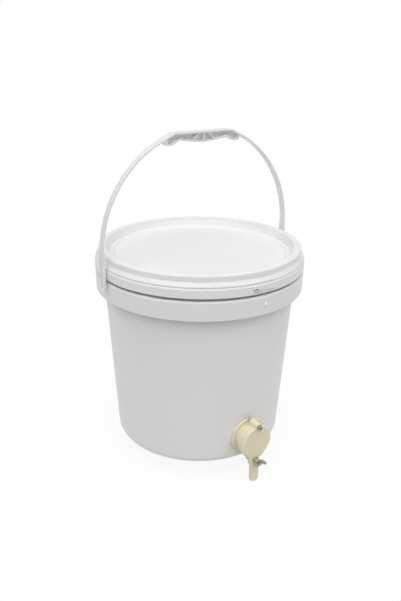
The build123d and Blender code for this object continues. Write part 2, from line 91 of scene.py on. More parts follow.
class PailSizes(PropertyGroup):
    base_radius: length(132.3, "Outside of the wall where its slope meets the floor")
    taper: angle(3.5, "Lean of the wall from upright")
    wall: length(2.2, "Thickness of the wall")
    floor: length(3.0, "Thickness of the bottom")
    base_corner: length(13.0, "Rounding between wall and bottom")
    foot_inset: length(14.0, "Width of the ring that the pail stands on")
    foot_rise: length(0.8, "Height of the hollow inside that ring")
    collar_bottom: length(251.4, "Lower edge of the collar")
    collar_height: length(28.6, "From the collar's lower edge to its top")
    collar_reach: length(13.1, "Collar's outside beyond the neck")
    collar_wall: length(2.4, "Thickness of the collar")
    collar_edge: length(3.0, "Rounding of the collar's top edge")
    rib_count: number(24, "Stiffening ribs under the collar")
    rib_width: length(1.6, "Thickness of a rib")
    rib_lift: length(4.0, "Ribs stop this far above the collar's lower edge")
    neck_height: length(32.0, "From the collar's top to the mouth")
    pivot_drop: length(5.7, "Bail's pivot below the collar's top")
    bead_reach: length(5.1, "Turned-down mouth rim beyond the neck")
    bead_height: length(9.0, "Height of the turned-down rim")
    bead_wall: length(2.2, "Thickness of the turned-down rim")
    pip_radius: length(2.7, "Moulded dome on the collar over the gate")
    pip_sunk: length(0.7, "Middle of the dome inside the collar's face")
    pip_turn: angle(1.2, "Dome from the front, towards +X")
    pip_rise: length(15.0, "Pip above the collar's lower edge")
    segments: number(288, "Steps round each turned form", 48)


class LidSizes(PropertyGroup):
    wall: length(1.9, "Thickness of the lid")
    clear: length(0.6, "Lid skirt to the mouth rim")
    plug_clear: length(0.4, "Inner wall to the mouth")
    seal: length(1.8, "Height of the seal")
    seal_clear: length(0.4, "Seal to the sides of its channel")
    rim_round: length(3.3, "Rounding of the rim")
    plug_slope: length(4.6, "How far the inner wall leans in")
    plug_depth: length(11.4, "Rim down to the ledge")
    ledge_width: length(8.0, "Ring round the sunk panel")
    ledge_step: length(2.0, "Ledge above the panel")
    step_run: length(3.0, "Width of the slope between panel and ledge")
    step_round: length(4.0, "Rounding at both ends of that slope")
    flare_out: length(4.3, "Flare below the skirt, outwards")
    flare_drop: length(5.4, "Flare below the skirt, downwards")
    flare_lip: length(1.5, "Upright edge at the flare's foot")
    tear_groove: length(1.0, "Depth of the groove that the band tears along")
    tear_gap: length(1.1, "Height of that groove")
    band_gap: length(4.0, "Collar's top to the tear band")
    band_height: length(14.2, "Height of the tear band")
    band_bevel: length(1.6, "Height of the bevel along the band's upper edge")
    band_proud: length(1.3, "Band's face beyond the flare's lip")
    band_draft: length(0.1, "Band's lower edge beyond its upper edge")
    band_wall: length(2.0, "Thickness of the tear band")
    band_edge: length(1.35, "Rounding of the band's lower edge")
    tab_half: angle(6.6, "Half of the tear tab over the gate")
    tab_slit: length(0.9, "Height of the tab's slit")
    tab_rise: length(4.3, "Slit's middle above the band's lower edge")
    tab_lip: length(0.7, "Thin lip below the slit, beyond the band")
    tab_slant: angle(6.2, "Slit falls towards +X")
    nub_turn: angle(-6.2, "Finger nub from the front, towards -X")
    nub_width: length(5.0, "Width of the finger nub")
    nub_height: length(6.0, "Height of the finger nub")
    nub_reach: length(3.0, "Nub beyond the band")
    nub_round: length(1.7, "Rounding of the finger nub")
    notch_width: length(3.2, "Width of the nail notch beside the nub")
    notch_height: length(3.0, "Height of that notch above the slit")


class BailSizes(PropertyGroup):
    clear: length(2.55, "Legs to the lid's band or the collar")
    strap: length(2.2, "Thickness of the strap")
    strap_width: length(11.5, "Width of the strap")
    lug: length(3.6, "Thickness of the lugs")
    lug_top: length(34.0, "Full lug section above the pivot")
    lug_fade: length(20.0, "Run over which the lug thins to the strap")
    lug_flange: length(1.7, "Raised border on the lug's outer face")
    lug_groove: length(1.3, "Depth inside that border")
    arch_lift: length(47.7, "Straight leg below the arch")
    pin_radius: length(3.0, "Stub pins in the collar")
    pin_fit: length(0.05, "Gap round the stub pins")
    pin_depth: length(9.0, "Pin inside the collar")
    grip_half: length(61.0, "Half length of the grip to its hooks")
    grip_flat: length(50.0, "Half length of its flat top")
    grip_crown: length(5.9, "Flat top above the arch at the grip's ends")
    grip_width: length(17.0, "Width of the flat top")
    grip_depth: length(15.5, "Flat top to the lip")
    finger_rise: length(5.0, "Lip rises by this towards each end")
    hook_drop: length(1.5, "End hooks below the lip")
    flange: length(2.4, "Edge round the grip's pockets")
    web: length(2.6, "Plate between the pockets")
    rib: length(1.8, "Ribs in the pockets")
    rib_top: length(8.0, "Slanted ribs, half distance at the top")
    rib_foot: length(18.3, "Slanted ribs, half distance at the lip")


class GateSizes(PropertyGroup):
    height: length(44.0, "Middle of the outlet above the base")
    bore: length(19.0, "Radius of the outlet")
    spigot_wall: length(4.0, "Wall of the threaded spigot")
    spigot_length: length(19.0, "Spigot behind the seat")
    spigot_clear: length(0.5, "Spigot to the hole in the pail")
    thread_pitch: length(3.0, "Coarse thread of the spigot")
    thread_depth: length(0.7, "Height of the spigot's thread")
    flange_reach: length(6.0, "Flange beyond the spigot")
    flange: length(3.4, "Thickness of the flange")
    seat_depth: length(1.6, "Flat seat below the wall's outside")
    seat_clear: length(0.8, "Flange to the seat's rim")
    seat: length(4.2, "Thickness of the pail at the seat")
    gasket: length(1.8, "Thickness of a gasket")
    gasket_inset: length(1.0, "Gaskets inside the flange's edge")
    gasket_clear: length(0.6, "Gaskets to the spigot")
    barrel_wall: length(3.5, "Wall of the barrel")
    barrel_length: length(10.0, "Flange to the face plate")
    face: length(6.0, "Thickness of the face plate")
    disc_lap: length(7.7, "Shutter's disc beyond the bore")
    pivot_rise: length(28.0, "Pivot above the outlet")
    pivot_boss: length(5.6, "Radius of the pivot bosses")
    neck_hollow: length(3.0, "Hollow rounding between a pivot boss and its disc")
    clamp_drop: length(33.0, "Clamp screw below the outlet")
    clamp_boss: length(7.4, "Radius of the clamp ear")
    film: length(0.15, "Running gap on both sides of the shutter")
    shutter: length(6.9, "Thickness of the shutter")
    shutter_edge: length(1.8, "Rounding of the shutter's front edge")
    boss_proud: length(1.0, "Pivot boss beyond the shutter")
    boss_gap: length(6.0, "Back of the pivot boss in front of the flange")
    clamp_depth: length(3.0, "Clamp boss behind the face plate")
    ear_half: length(12.5, "Lower end of the plate towards +X")
    hook_half: length(9.6, "Hook of the plate towards -X")
    slot_half: length(3.0, "Half height of the hook slot")
    tail_half: length(7.8, "Half width of the finger tail")
    tail_drop: length(71.7, "Tail's end below the outlet")
    tail_lean: length(2.6, "Tail's end leans out")
    tail: length(4.8, "Thickness of the tail")
    tail_round: length(6.6, "Rounding of the tail's end")
    locknut_fit: length(0.1, "Gap between locknut and spigot")
    locknut_wall: length(7.4, "Ring of the locknut")
    locknut_length: length(9.0, "Depth of the locknut")
    notch_count: number(8, "Grip notches round the locknut", 3)
    notch_radius: length(3.2, "Radius of a notch")
    notch_depth: length(2.2, "Depth of a notch")


class FastenerSizes(PropertyGroup):
    screw: length(2.5, "Radius of the screws")
    fit: length(0.05, "Gap round the screws")
    head: length(5.0, "Radius of the pivot screw's head")
    head_height: length(3.0, "Height of the screw heads")
    washer: length(1.1, "Thickness of the washers")
    pivot_washer: length(4.9, "Radius of the pivot washer")
    clamp_washer: length(6.0, "Radius of the clamp washer")
    nut_flats: length(8.0, "Nut across its flats")
    nut_height: length(4.0, "Height of the nut")
    proud: length(2.0, "Pivot screw beyond its nut")
    clamp_proud: length(6.0, "Clamp screw beyond the hub of its wing nut")
    pitch: length(0.8, "Pitch of the screw threads")
    hub: length(5.2, "Foot radius of the wing nut's hub")
    hub_tip: length(4.2, "Top radius of the hub")
    hub_height: length(6.5, "Height of the hub")
    wing_span: length(10.4, "Half span of the wings")
    wing_height: length(15.0, "Height of the wings")
    wing: length(2.2, "Thickness of a wing")


class Finishes(PropertyGroup):
    pail: colour((0.845, 0.85, 0.845), "White of the pail")
    lid: colour((0.87, 0.88, 0.872), "White of the lid")
    bail: colour((0.86, 0.862, 0.86), "White of the bail")
    gate: colour((0.86, 0.79, 0.565), "Cream of the honey gate")
    seal: colour((0.75, 0.74, 0.7), "Soft grey of the seals")
    steel: colour((0.64, 0.62, 0.575), "Bright steel of the fasteners")


class StageSettings(PropertyGroup):
    camera_place: FloatVectorProperty(
        description="Place of the camera", default=(-0.5335, -0.7910, 0.6048), size=3, subtype="TRANSLATION"
    )
    heading: angle(34.0, "Turn of the camera from +Y towards +X")
    pitch: angle(22.04, "Camera's look downwards")
    roll: angle(0.73, "Camera's tilt")
    lens: FloatProperty(description="Focal length on a 36 mm high sensor", default=38.58, unit="CAMERA")
    shift: FloatVectorProperty(
        description="Middle of the picture beside the lens, in picture heights",
        default=(1.4 / 601, -0.5 / 601), size=2, precision=5,
    )
    floor_drop: length(30.4, "Floor below the base, clear of the gate's tail")
    plinth: length(112.0, "Radius of the round block under the base")
    floor_grey: strength(0.58, "How much light the floor gives back")
    lamp: strength(3.3, "Wide lamp high on the camera's side")
    behind: strength(0.56, "Low light behind the bucket")
    shade: strength(0.12, "Shadow seen on the floor")
    bounces: number(16, "How often light passes on between the white walls")


def plan():
    """Heights and radii that several pieces share."""
    scene = bpy.context.scene
    pail, lid, bail, gate, fix = (
        scene.bucket_pail, scene.bucket_lid, scene.bucket_bail, scene.bucket_gate, scene.bucket_fasteners
    )
    p = SimpleNamespace(pail=pail, lid=lid, bail=bail, gate=gate, fix=fix, finish=scene.bucket_finishes)
    p.slope = math.tan(pail.taper)
    p.collar_top = pail.collar_bottom + pail.collar_height
    p.pivot_z = p.collar_top - pail.pivot_drop
    p.neck = pail.base_radius + pail.collar_bottom * p.slope
    p.mouth = p.neck - pail.wall
    p.collar = p.neck + pail.collar_reach
    p.bead = p.neck + pail.bead_reach
    p.mouth_z = p.collar_top + pail.neck_height
    p.lid_top = p.mouth_z + lid.seal + lid.wall
    p.channel = p.bead + lid.clear
    p.skirt = p.channel + lid.wall
    p.flare = p.skirt + lid.flare_out
    p.band_low = p.collar_top + lid.band_gap
    p.band_high = p.band_low + lid.band_height
    p.band = p.flare + lid.band_proud

    p.lug_in = max(p.band + lid.band_draft, p.collar) + bail.clear
    p.lug_out = p.lug_in + bail.lug
    p.lug_mid = p.lug_in + bail.lug / 2
    p.leg_in = p.lug_mid - bail.strap / 2
    p.leg_out = p.lug_mid + bail.strap / 2
    p.pin_tip = p.collar - bail.pin_depth

    p.spigot = gate.bore + gate.spigot_wall
    p.flange = p.spigot + gate.flange_reach
    p.seat = p.flange + gate.seat_clear
    p.gasket = p.flange - gate.gasket_inset
    p.gasket_hole = p.spigot + gate.gasket_clear
    p.barrel = gate.bore + gate.barrel_wall
    p.disc = gate.bore + gate.disc_lap
    p.neck_above = neck(p.disc, gate.pivot_boss, gate.pivot_rise, gate.neck_hollow)
    p.flange_back = gate.gasket
    p.flange_front = p.flange_back + gate.flange
    p.face_back = p.flange_front + gate.barrel_length
    p.face_front = p.face_back + gate.face
    p.shutter_back = p.face_front + gate.film
    p.shutter_front = p.shutter_back + gate.shutter
    p.boss_front = p.shutter_front + gate.boss_proud
    p.pivot_back = p.flange_front + gate.boss_gap
    p.clamp_back = p.face_back - gate.clamp_depth
    p.screw_hole = fix.screw + fix.fit
    # Screw holes are drilled from behind the flange to past the nuts.
    p.drill = (-5 * MM, 40 * MM)
    p.nut_back = p.boss_front + gate.film + fix.washer
    p.pivot_end = p.nut_back + fix.nut_height + fix.proud
    p.wing_back = p.shutter_front + gate.film + fix.washer
    p.clamp_end = p.wing_back + fix.hub_height + fix.clamp_proud

    cos, sin = math.cos(pail.taper), math.sin(pail.taper)
    seat_y = -(pail.base_radius + gate.height * p.slope) + gate.seat_depth * cos
    seat_z = gate.height + gate.seat_depth * sin
    p.gate_frame = Matrix(((1, 0, 0, 0), (0, -sin, -cos, seat_y), (0, cos, -sin, seat_z), (0, 0, 0, 1)))
    p.pivot_frame = p.gate_frame @ Matrix.Translation((0, gate.pivot_rise, 0))
    p.clamp_frame = p.gate_frame @ Matrix.Translation((0, -gate.clamp_drop, 0))
    p.front_frame = Matrix(((1, 0, 0, 0), (0, 0, -1, 0), (0, 1, 0, p.pivot_z), (0, 0, 0, 1)))
    p.side_frame = Matrix(((0, 0, 1, 0), (1, 0, 0, 0), (0, 1, 0, p.pivot_z), (0, 0, 0, 1)))
    p.pin_frames = [
        Matrix(((0, 0, side, 0), (0, 1, 0, 0), (-side, 0, 0, p.pivot_z), (0, 0, 0, 1))) for side in (1, -1)
    ]
    return p


# Outlines

def rounded(corners, closed=True):
    """Outline through corners given as across, up, rounding."""
    line = []
    last = len(corners) - 1
    for i, (across, up, rounding) in enumerate(corners):
        here = Vector((across, up))
        if rounding <= 0 or (not closed and i in (0, last)):
            line.append(tuple(here))
            continue
        before = (Vector(corners[i - 1][:2]) - here).normalized()
        after = (Vector(corners[(i + 1) % len(corners)][:2]) - here).normalized()
        half = before.angle(after) / 2
        centre = here + (before + after).normalized() * (rounding / math.sin(half))
        reach = rounding / math.tan(half)
        start = here + before * reach - centre
        end = here + after * reach - centre
        begin = math.atan2(start.y, start.x)
        turn = math.atan2(end.y, end.x) - begin
        turn = (turn + math.pi) % (2 * math.pi) - math.pi
        steps = max(2, math.ceil(abs(turn) / ARC_STEP))
        for k in range(steps + 1):
            a = begin + turn * k / steps
            line.append(tuple(centre + Vector((math.cos(a), math.sin(a))) * rounding))
    return line


def run(start, end, step):
    """Points from start to end on a straight line, about one step apart, with no rounding."""
    count = max(1, round(math.dist(start, end) / step))
    return [
        (start[0] + (end[0] - start[0]) * k / count, start[1] + (end[1] - start[1]) * k / count, 0)
        for k in range(1, count)
    ]


def arc(radius, begin, end, steps, centre=(0, 0)):
    turns = [begin + (end - begin) * k / steps for k in range(steps + 1)]
    return [(centre[0] + radius * math.cos(a), centre[1] + radius * math.sin(a)) for a in turns]


def disc(radius, centre=(0, 0), steps=96):
    return arc(radius, 0, 2 * math.pi, steps, centre)[:-1]


def wrapped(*outlines):
    """Tight outline round several discs, as a cord pulled round them."""
    points = sorted({(round(x, 9), round(y, 9)) for outline in outlines for x, y in outline})

    def chain(line):
        out = []
        for x, y in line:
            while len(out) > 1:
                (x0, y0), (x1, y1) = out[-2:]
                if (x1 - x0) * (y - y0) > (y1 - y0) * (x - x0):
                    break
                out.pop()
            out.append((x, y))
        return out[:-1]

    return chain(points) + chain(points[::-1])


def neck(radius, boss, rise, hollow):
    """Outline of a boss that stands on a disc's rim, with a hollow rounding on both sides."""
    reach, near = radius + hollow, boss + hollow
    up = (reach ** 2 - near ** 2 + rise ** 2) / (2 * rise)
    across = math.sqrt(reach ** 2 - up ** 2)
    low = math.atan2(-up, -across) % (2 * math.pi)
    high = math.atan2(rise - up, -across) % (2 * math.pi)
    side = arc(hollow, low, high, 12, (across, up))
    begin = math.atan2(up - rise, across)
    crown = arc(boss, begin, math.pi - begin, 40, (0, rise))
    return side + crown[1:-1] + [(-x, y) for x, y in reversed(side)]


def necked(outline, above):
    """Outline whose top is replaced by a neck and its boss."""
    edge = above[0][0]
    line, placed = [], False
    for x, y in outline:
        if y < 0 or abs(x) > edge:
            line.append((x, y))
        elif not placed:
            line += above
            placed = True
    return line


def mirrored(half):
    """Whole outline from its +X half, which may start and end on the middle line."""
    return half + [(-x, y) for x, y in reversed(half) if x > WELD / 2]


# Meshes

def new_piece(name, mesh):
    piece = bpy.data.objects.new(name, mesh)
    bpy.context.scene.collection.objects.link(piece)
    return piece


def bake(piece):
    """Turn the evaluated result into the piece's own plain mesh."""
    bpy.context.view_layer.update()
    graph = bpy.context.evaluated_depsgraph_get()
    mesh = bpy.data.meshes.new_from_object(piece.evaluated_get(graph))
    old = piece.data
    piece.modifiers.clear()
    piece.data = mesh
    bpy.data.meshes.remove(old)
    mesh.name = piece.name
    return piece


def face_out(piece):
    """Weld the points that coincide and turn all faces outwards."""
    work = bmesh.new()
    work.from_mesh(piece.data)
    bmesh.ops.remove_doubles(work, verts=work.verts, dist=WELD)
    bmesh.ops.recalc_face_normals(work, faces=work.faces)
    work.to_mesh(piece.data)
    work.free()
    return piece


def prism(name, outline, low, high, place=None):
    """Solid of an outline between two heights."""
    work = bmesh.new()
    foot = [work.verts.new((x, y, low)) for x, y in outline]
    head = [work.verts.new((x, y, high)) for x, y in outline]
    count = len(foot)
    work.faces.new(foot[::-1])
    work.faces.new(head)
    for i in range(count):
        j = (i + 1) % count
        work.faces.new((foot[i], foot[j], head[j], head[i]))
    mesh = bpy.data.meshes.new(name)
    work.to_mesh(mesh)
    work.free()
    piece = new_piece(name, mesh)
    face_out(piece)
    if place is not None:
        mesh.transform(place)
    return piece


def rod(name, radius, low, high, place=None, centre=(0, 0), steps=48):
    return prism(name, disc(radius, centre, steps), low, high, place)


def carve(piece, tool, operation="DIFFERENCE"):
    cut = piece.modifiers.new("cut", "BOOLEAN")
    cut.solver = "EXACT"
    cut.operation = operation
    cut.object = tool
    bake(piece)
    bpy.data.objects.remove(tool)
    if not piece.data.polygons:
        raise RuntimeError("nothing left of " + piece.name)
    return piece


def join(piece, *tools):
    for tool in tools:
        carve(piece, tool, "UNION")
    return piece


def cut(piece, *tools):
    for tool in tools:
        carve(piece, tool)
    return piece


def soften(piece, width, limit=40, rounds=2, share=None):
    """Round the edges sharper than the limit; share gives each edge its part of the width."""
    work = bmesh.new()
    work.from_mesh(piece.data)
    bmesh.ops.remove_doubles(work, verts=work.verts, dist=CLEAN)
    bmesh.ops.dissolve_limit(work, angle_limit=FLAT, verts=work.verts, edges=work.edges)
    if share:
        weight = work.edges.layers.float.new("bevel_weight_edge")
        for hard in work.edges:
            if hard.calc_face_angle(0) > math.radians(limit):
                hard[weight] = share((hard.verts[0].co + hard.verts[1].co) / 2)
    work.to_mesh(piece.data)
    work.free()
    edge = piece.modifiers.new("soft edges", "BEVEL")
    edge.width = width
    edge.segments = rounds
    edge.limit_method = "WEIGHT" if share else "ANGLE"
    edge.angle_limit = math.radians(limit)
    edge.use_clamp_overlap = False
    edge.miter_outer = "MITER_ARC"
    return bake(piece)


# Node trees

class Tree:
    """Small helper for wiring a node tree."""

    def __init__(self, tree):
        self.tree = tree

    def add(self, kind, settings=None, **inputs):
        node = self.tree.nodes.new(kind)
        for key, value in (settings or {}).items():
            setattr(node, key, value)
        self.fill(node, **inputs)
        return node

    def add_in_order(self, kind, settings, *values):
        node = self.add(kind, settings)
        for socket, value in zip(node.inputs, values):
            self.feed(socket, value)
        return node

    def fill(self, node, **inputs):
        for key, value in inputs.items():
            self.feed(node.inputs[key.replace("_", " ")], value)

    def feed(self, socket, value):
        if isinstance(value, bpy.types.NodeSocket):
            self.tree.links.new(value, socket)
        else:
            socket.default_value = value

    def sum(self, operation, a, b=0.0):
        return self.add_in_order("ShaderNodeMath", {"operation": operation}, a, b).outputs[0]


def form_tree(name, sockets):
    """Empty geometry tree with the named inputs; gives the tree, its input node and its output node."""
    tree = bpy.data.node_groups.new(name, "GeometryNodeTree")
    tree.interface.new_socket("Geometry", in_out="INPUT", socket_type="NodeSocketGeometry")
    for label, kind in sockets:
        tree.interface.new_socket(label, in_out="INPUT", socket_type="NodeSocket" + kind)
    tree.interface.new_socket("Geometry", in_out="OUTPUT", socket_type="NodeSocketGeometry")
    start = tree.nodes.new("NodeGroupInput")
    end = tree.nodes.new("NodeGroupOutput")
    return Tree(tree), start, end


def close_form(t, start, end, geometry):
    real = t.add("GeometryNodeRealizeInstances", Geometry=geometry)
    coat = t.add("GeometryNodeSetMaterial", Geometry=real.outputs[0], Material=start.outputs["Material"])
    t.feed(end.inputs[0], coat.outputs[0])
    return t.tree


def turning_tree():
    """Turns a profile, drawn as radius and height, round the upright axis."""
    if "Turned form" in bpy.data.node_groups:
        return bpy.data.node_groups["Turned form"]
    t, start, end = form_tree("Turned form", [("Segments", "Int"), ("Material", "Material")])
    profile, segments = start.outputs["Geometry"], start.outputs["Segments"]
    size = t.add("GeometryNodeAttributeDomainSize", {"component": "MESH"}, Geometry=profile)
    count = size.outputs["Point Count"]
    rows = t.sum("ADD", segments, 1.0)
    skin = t.add("GeometryNodeMeshGrid", Size_X=1.0, Size_Y=1.0, Vertices_X=rows, Vertices_Y=count)
    index = t.add("GeometryNodeInputIndex").outputs[0]
    step = t.sum("FLOOR", t.sum("DIVIDE", index, count))
    along = t.sum("SUBTRACT", index, t.sum("MULTIPLY", step, count))
    read = t.add(
        "GeometryNodeSampleIndex", {"data_type": "FLOAT_VECTOR", "domain": "POINT"},
        Geometry=profile, Index=along, Value=t.add("GeometryNodeInputPosition").outputs[0],
    )
    point = t.add("ShaderNodeSeparateXYZ", Vector=read.outputs["Value"])
    turn = t.sum("MULTIPLY", step, t.sum("DIVIDE", 2 * math.pi, segments))
    place = t.add(
        "ShaderNodeCombineXYZ",
        X=t.sum("MULTIPLY", point.outputs["X"], t.sum("COSINE", turn)),
        Y=t.sum("MULTIPLY", point.outputs["X"], t.sum("SINE", turn)),
        Z=point.outputs["Z"],
    )
    moved = t.add("GeometryNodeSetPosition", Geometry=skin.outputs["Mesh"], Position=place.outputs[0])
    whole = t.add("GeometryNodeMergeByDistance", Geometry=moved.outputs[0], Distance=SEAM)
    return close_form(t, start, end, whole.outputs[0])


def rib_tree():
    """Repeats one rib evenly round the upright axis."""
    t, start, end = form_tree("Ribs round an axis", [("Count", "Int"), ("Material", "Material")])
    count = start.outputs["Count"]
    points = t.add("GeometryNodePoints", Count=count)
    index = t.add("GeometryNodeInputIndex").outputs[0]
    step = t.sum("DIVIDE", 2 * math.pi, count)
    turn = t.add("ShaderNodeCombineXYZ", Z=t.sum("MULTIPLY", t.sum("ADD", index, 0.5), step))
    spin = t.add("FunctionNodeEulerToRotation", Euler=turn.outputs[0])
    ribs = t.add(
        "GeometryNodeInstanceOnPoints",
        Points=points.outputs[0], Instance=start.outputs["Geometry"], Rotation=spin.outputs[0],
    )
    return close_form(t, start, end, ribs.outputs[0])


def thread_tree():
    """Winds a ridge round the upright axis as a screw thread."""
    if "Screw thread" in bpy.data.node_groups:
        return bpy.data.node_groups["Screw thread"]
    sizes = [(label, "Float") for label in ("Radius", "Ridge", "Pitch", "Length")]
    t, start, end = form_tree("Screw thread", sizes + [("Steps", "Int"), ("Material", "Material")])
    size = start.outputs
    radius = t.sum("SUBTRACT", size["Radius"], size["Ridge"])
    wound = t.add(
        "GeometryNodeCurveSpiral",
        Resolution=size["Steps"], Rotations=t.sum("DIVIDE", size["Length"], size["Pitch"]),
        Start_Radius=radius, End_Radius=radius, Height=size["Length"],
    )
    ridge = t.add("GeometryNodeCurvePrimitiveCircle", Resolution=4, Radius=size["Ridge"])
    skin = t.add(
        "GeometryNodeCurveToMesh", Curve=wound.outputs[0], Profile_Curve=ridge.outputs[0], Fill_Caps=True
    )
    return close_form(t, start, end, skin.outputs[0])


def grown(name, tree, mesh, **inputs):
    """Piece made by a geometry tree and turned into a plain mesh."""
    piece = new_piece(name, mesh)
    grow = piece.modifiers.new(name, "NODES")
    grow.node_group = tree
    for item in tree.interface.items_tree:
        if item.in_out == "INPUT" and item.name in inputs:
            grow[item.identifier] = inputs[item.name]
    bake(piece)
    return face_out(piece)


def turned(name, profile, segments, place=None, ring=False):
    """Turned form from a profile of radius and height; a ring's profile closes on itself."""
    line = [(x, 0, z) for x, z in profile]
    if ring:
        line.append(line[0])
    mesh = bpy.data.meshes.new(name)
    mesh.from_pydata(line, [(i, i + 1) for i in range(len(line) - 1)], [])
    piece = grown(name, turning_tree(), mesh, Segments=segments, Material=None)
    if place is not None:
        piece.data.transform(place)
    return piece


def lathe(name, corners, segments, place=None):
    """Turned solid through corners that start and end on its axis."""
    return turned(name, rounded(corners, closed=False), segments, place)


def hoop(name, inner, outer, low, high, edges, segments, place=None):
    """Turned ring; edges lists its roundings in mm: inner low, outer low, outer high, inner high."""
    a, b, c, d = (edge * MM for edge in edges)
    profile = rounded([(inner, low, a), (outer, low, b), (outer, high, c), (inner, high, d)])
    return turned(name, profile, segments, place, ring=True)


def thread(name, radius, ridge, pitch, low, high, steps, place):
    piece = grown(
        name, thread_tree(), bpy.data.meshes.new(name),
        Radius=radius, Ridge=ridge, Pitch=pitch, Length=high - low, Steps=steps, Material=None,
    )
    piece.data.transform(place @ Matrix.Translation((0, 0, low)))
    return piece


def merge(piece, *others):
    """One object from several closed shells."""
    work = bmesh.new()
    for part in (piece, *others):
        work.from_mesh(part.data)
    work.to_mesh(piece.data)
    work.free()
    for part in others:
        bpy.data.objects.remove(part)
    return piece


def pivot_ring(p, low, high):
    """Round boss of a gate plate about the pivot screw, a hair inside the plate's own outline."""
    inner, outer = p.screw_hole + HAIR, p.gate.pivot_boss - HAIR
    return hoop("boss", inner, outer, low, high, (0.3, 0.5, 0.5, 0.3), 96, p.pivot_frame)


def dress(piece, finish, body, slot, *nodes, limit=32):
    """Give a finished piece its material, its even shading and its place in the frame."""
    mesh = piece.data
    mesh.materials.clear()
    mesh.materials.append(finish)
    mesh.shade_smooth()
    mesh.set_sharp_from_angle(angle=math.radians(limit))
    even = piece.modifiers.new("even shading", "WEIGHTED_NORMAL")
    even.keep_sharp = True
    bake(piece)
    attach(piece, body)
    if nodes:
        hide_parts(*nodes)
    return piece


# Finishes

def new_finish(name):
    finish = bpy.data.materials.new(name)
    finish.use_nodes = True
    t = Tree(finish.node_tree)
    t.surface = finish.node_tree.nodes["Principled BSDF"]
    t.spot = t.add("ShaderNodeTexCoord").outputs["Object"]
    return finish, t


def grain(t, scale, detail=3.0, rough=0.5, stretch=None):
    where = t.spot
    if stretch:
        where = t.add("ShaderNodeMapping", Vector=where, Scale=stretch).outputs[0]
    noise = t.add("ShaderNodeTexNoise", Vector=where, Scale=scale, Detail=detail, Roughness=rough)
    return noise.outputs[0]


def spread(t, value, low, high, to_low, to_high):
    node = t.add(
        "ShaderNodeMapRange", Value=value, From_Min=low, From_Max=high, To_Min=to_low, To_Max=to_high
    )
    return node.outputs[0]


def blended(t, share, first, second):
    return t.add("ShaderNodeMix", {"data_type": "RGBA"}, Factor=share, A=first, B=second).outputs["Result"]


def shade_of(colour, factor):
    return (*[min(1.0, c * f) for c, f in zip(colour, factor)], 1.0)


def drifting(t, colour, scale, detail, dark):
    """Tone that drifts between the colour and a darker shade of it."""
    share = spread(t, grain(t, scale, detail), 0.35, 0.65, 0.0, 1.0)
    return blended(t, share, shade_of(colour, dark), (*colour, 1.0))


def moulded(name, colour, dull, scuff_below=None):
    """Satin moulded plastic: drifting tone, fine mould grain, uneven gloss and light scuffs."""
    finish, t = new_finish(name)
    tone = drifting(t, colour, 9.0, 3.0, (0.975, 0.975, 0.98))
    rubs = spread(t, grain(t, 55.0, 6.0, 0.65, (1.0, 1.0, 5.0)), 0.60, 0.74, 0.0, 1.0)
    scuffed = 0.3
    if scuff_below is not None:
        height = t.add("ShaderNodeSeparateXYZ", Vector=t.spot).outputs["Z"]
        scuffed = spread(t, height, 0.0, scuff_below, 1.0, 0.12)
    rubs = t.sum("MULTIPLY", rubs, scuffed)
    tone = blended(t, t.sum("MULTIPLY", rubs, 0.35), tone, shade_of(colour, (0.86, 0.855, 0.84)))
    gloss = spread(t, grain(t, 38.0, 4.0), 0.3, 0.7, dull - 0.05, dull + 0.06)
    fine = t.add("ShaderNodeBump", Strength=0.03, Distance=0.0002, Height=grain(t, 1100.0, 2.0))
    soft = t.add(
        "ShaderNodeBump", Strength=0.05, Distance=0.002, Height=grain(t, 24.0, 2.0), Normal=fine.outputs[0]
    )
    t.fill(
        t.surface, Base_Color=tone, Roughness=t.sum("ADD", gloss, t.sum("MULTIPLY", rubs, 0.12)),
        Normal=soft.outputs[0], IOR=1.5, Specular_IOR_Level=0.42,
    )
    return finish


def soft_rubber(name, colour):
    """Soft matt rubber with a fine grain."""
    finish, t = new_finish(name)
    tone = drifting(t, colour, 70.0, 4.0, (0.9, 0.9, 0.88))
    gloss = spread(t, grain(t, 160.0), 0.3, 0.7, 0.66, 0.82)
    bump = t.add("ShaderNodeBump", Strength=0.2, Distance=0.0002, Height=grain(t, 900.0))
    t.fill(t.surface, Base_Color=tone, Roughness=gloss, Normal=bump.outputs[0], Specular_IOR_Level=0.25)
    return finish


def bright_steel(name, colour):
    """Bright plated steel, brushed a little, with painted shade darkening it along the rounded edges."""
    finish, t = new_finish(name)
    tone = drifting(t, colour, 420.0, 4.0, (0.78, 0.77, 0.75))
    # Painted shade: near rounded edges, where the bevel normal leaves the true normal, the colour turns
    # almost black.
    eased = t.add("ShaderNodeBevel", {"samples": 8}, Radius=0.9 * MM).outputs[0]
    true = t.add("ShaderNodeNewGeometry").outputs["Normal"]
    facing = t.add_in_order("ShaderNodeVectorMath", {"operation": "DOT_PRODUCT"}, eased, true)
    painted_edge_shade = spread(t, facing.outputs["Value"], 0.80, 0.985, 1.0, 0.0)
    tone = blended(t, painted_edge_shade, tone, shade_of(colour, (0.05, 0.046, 0.042)))
    brushed = grain(t, 500.0, 3.0, 0.5, (1.0, 14.0, 1.0))
    bump = t.add("ShaderNodeBump", Strength=0.1, Distance=0.0001, Height=brushed)
    t.fill(
        t.surface, Base_Color=tone, Roughness=spread(t, brushed, 0.3, 0.7, 0.10, 0.24),
        Normal=bump.outputs[0], Metallic=1.0,
    )
    return finish


def finishes(p):
    """The bucket's finishes, each made the first time it is asked for."""
    def once(make, name, *settings):
        return bpy.data.materials.get(name) or make(name, *settings)

    return SimpleNamespace(
        pail=once(moulded, "Pail white plastic", p.finish.pail, 0.40, 0.05),
        lid=once(moulded, "Lid white plastic", p.finish.lid, 0.38),
        bail=once(moulded, "Bail white plastic", p.finish.bail, 0.42),
        gate=once(moulded, "Gate cream plastic", p.finish.gate, 0.40),
        seal=once(soft_rubber, "Seal rubber", p.finish.seal),
        steel=once(bright_steel, "Fastener steel", p.finish.steel),
    )


# Pieces

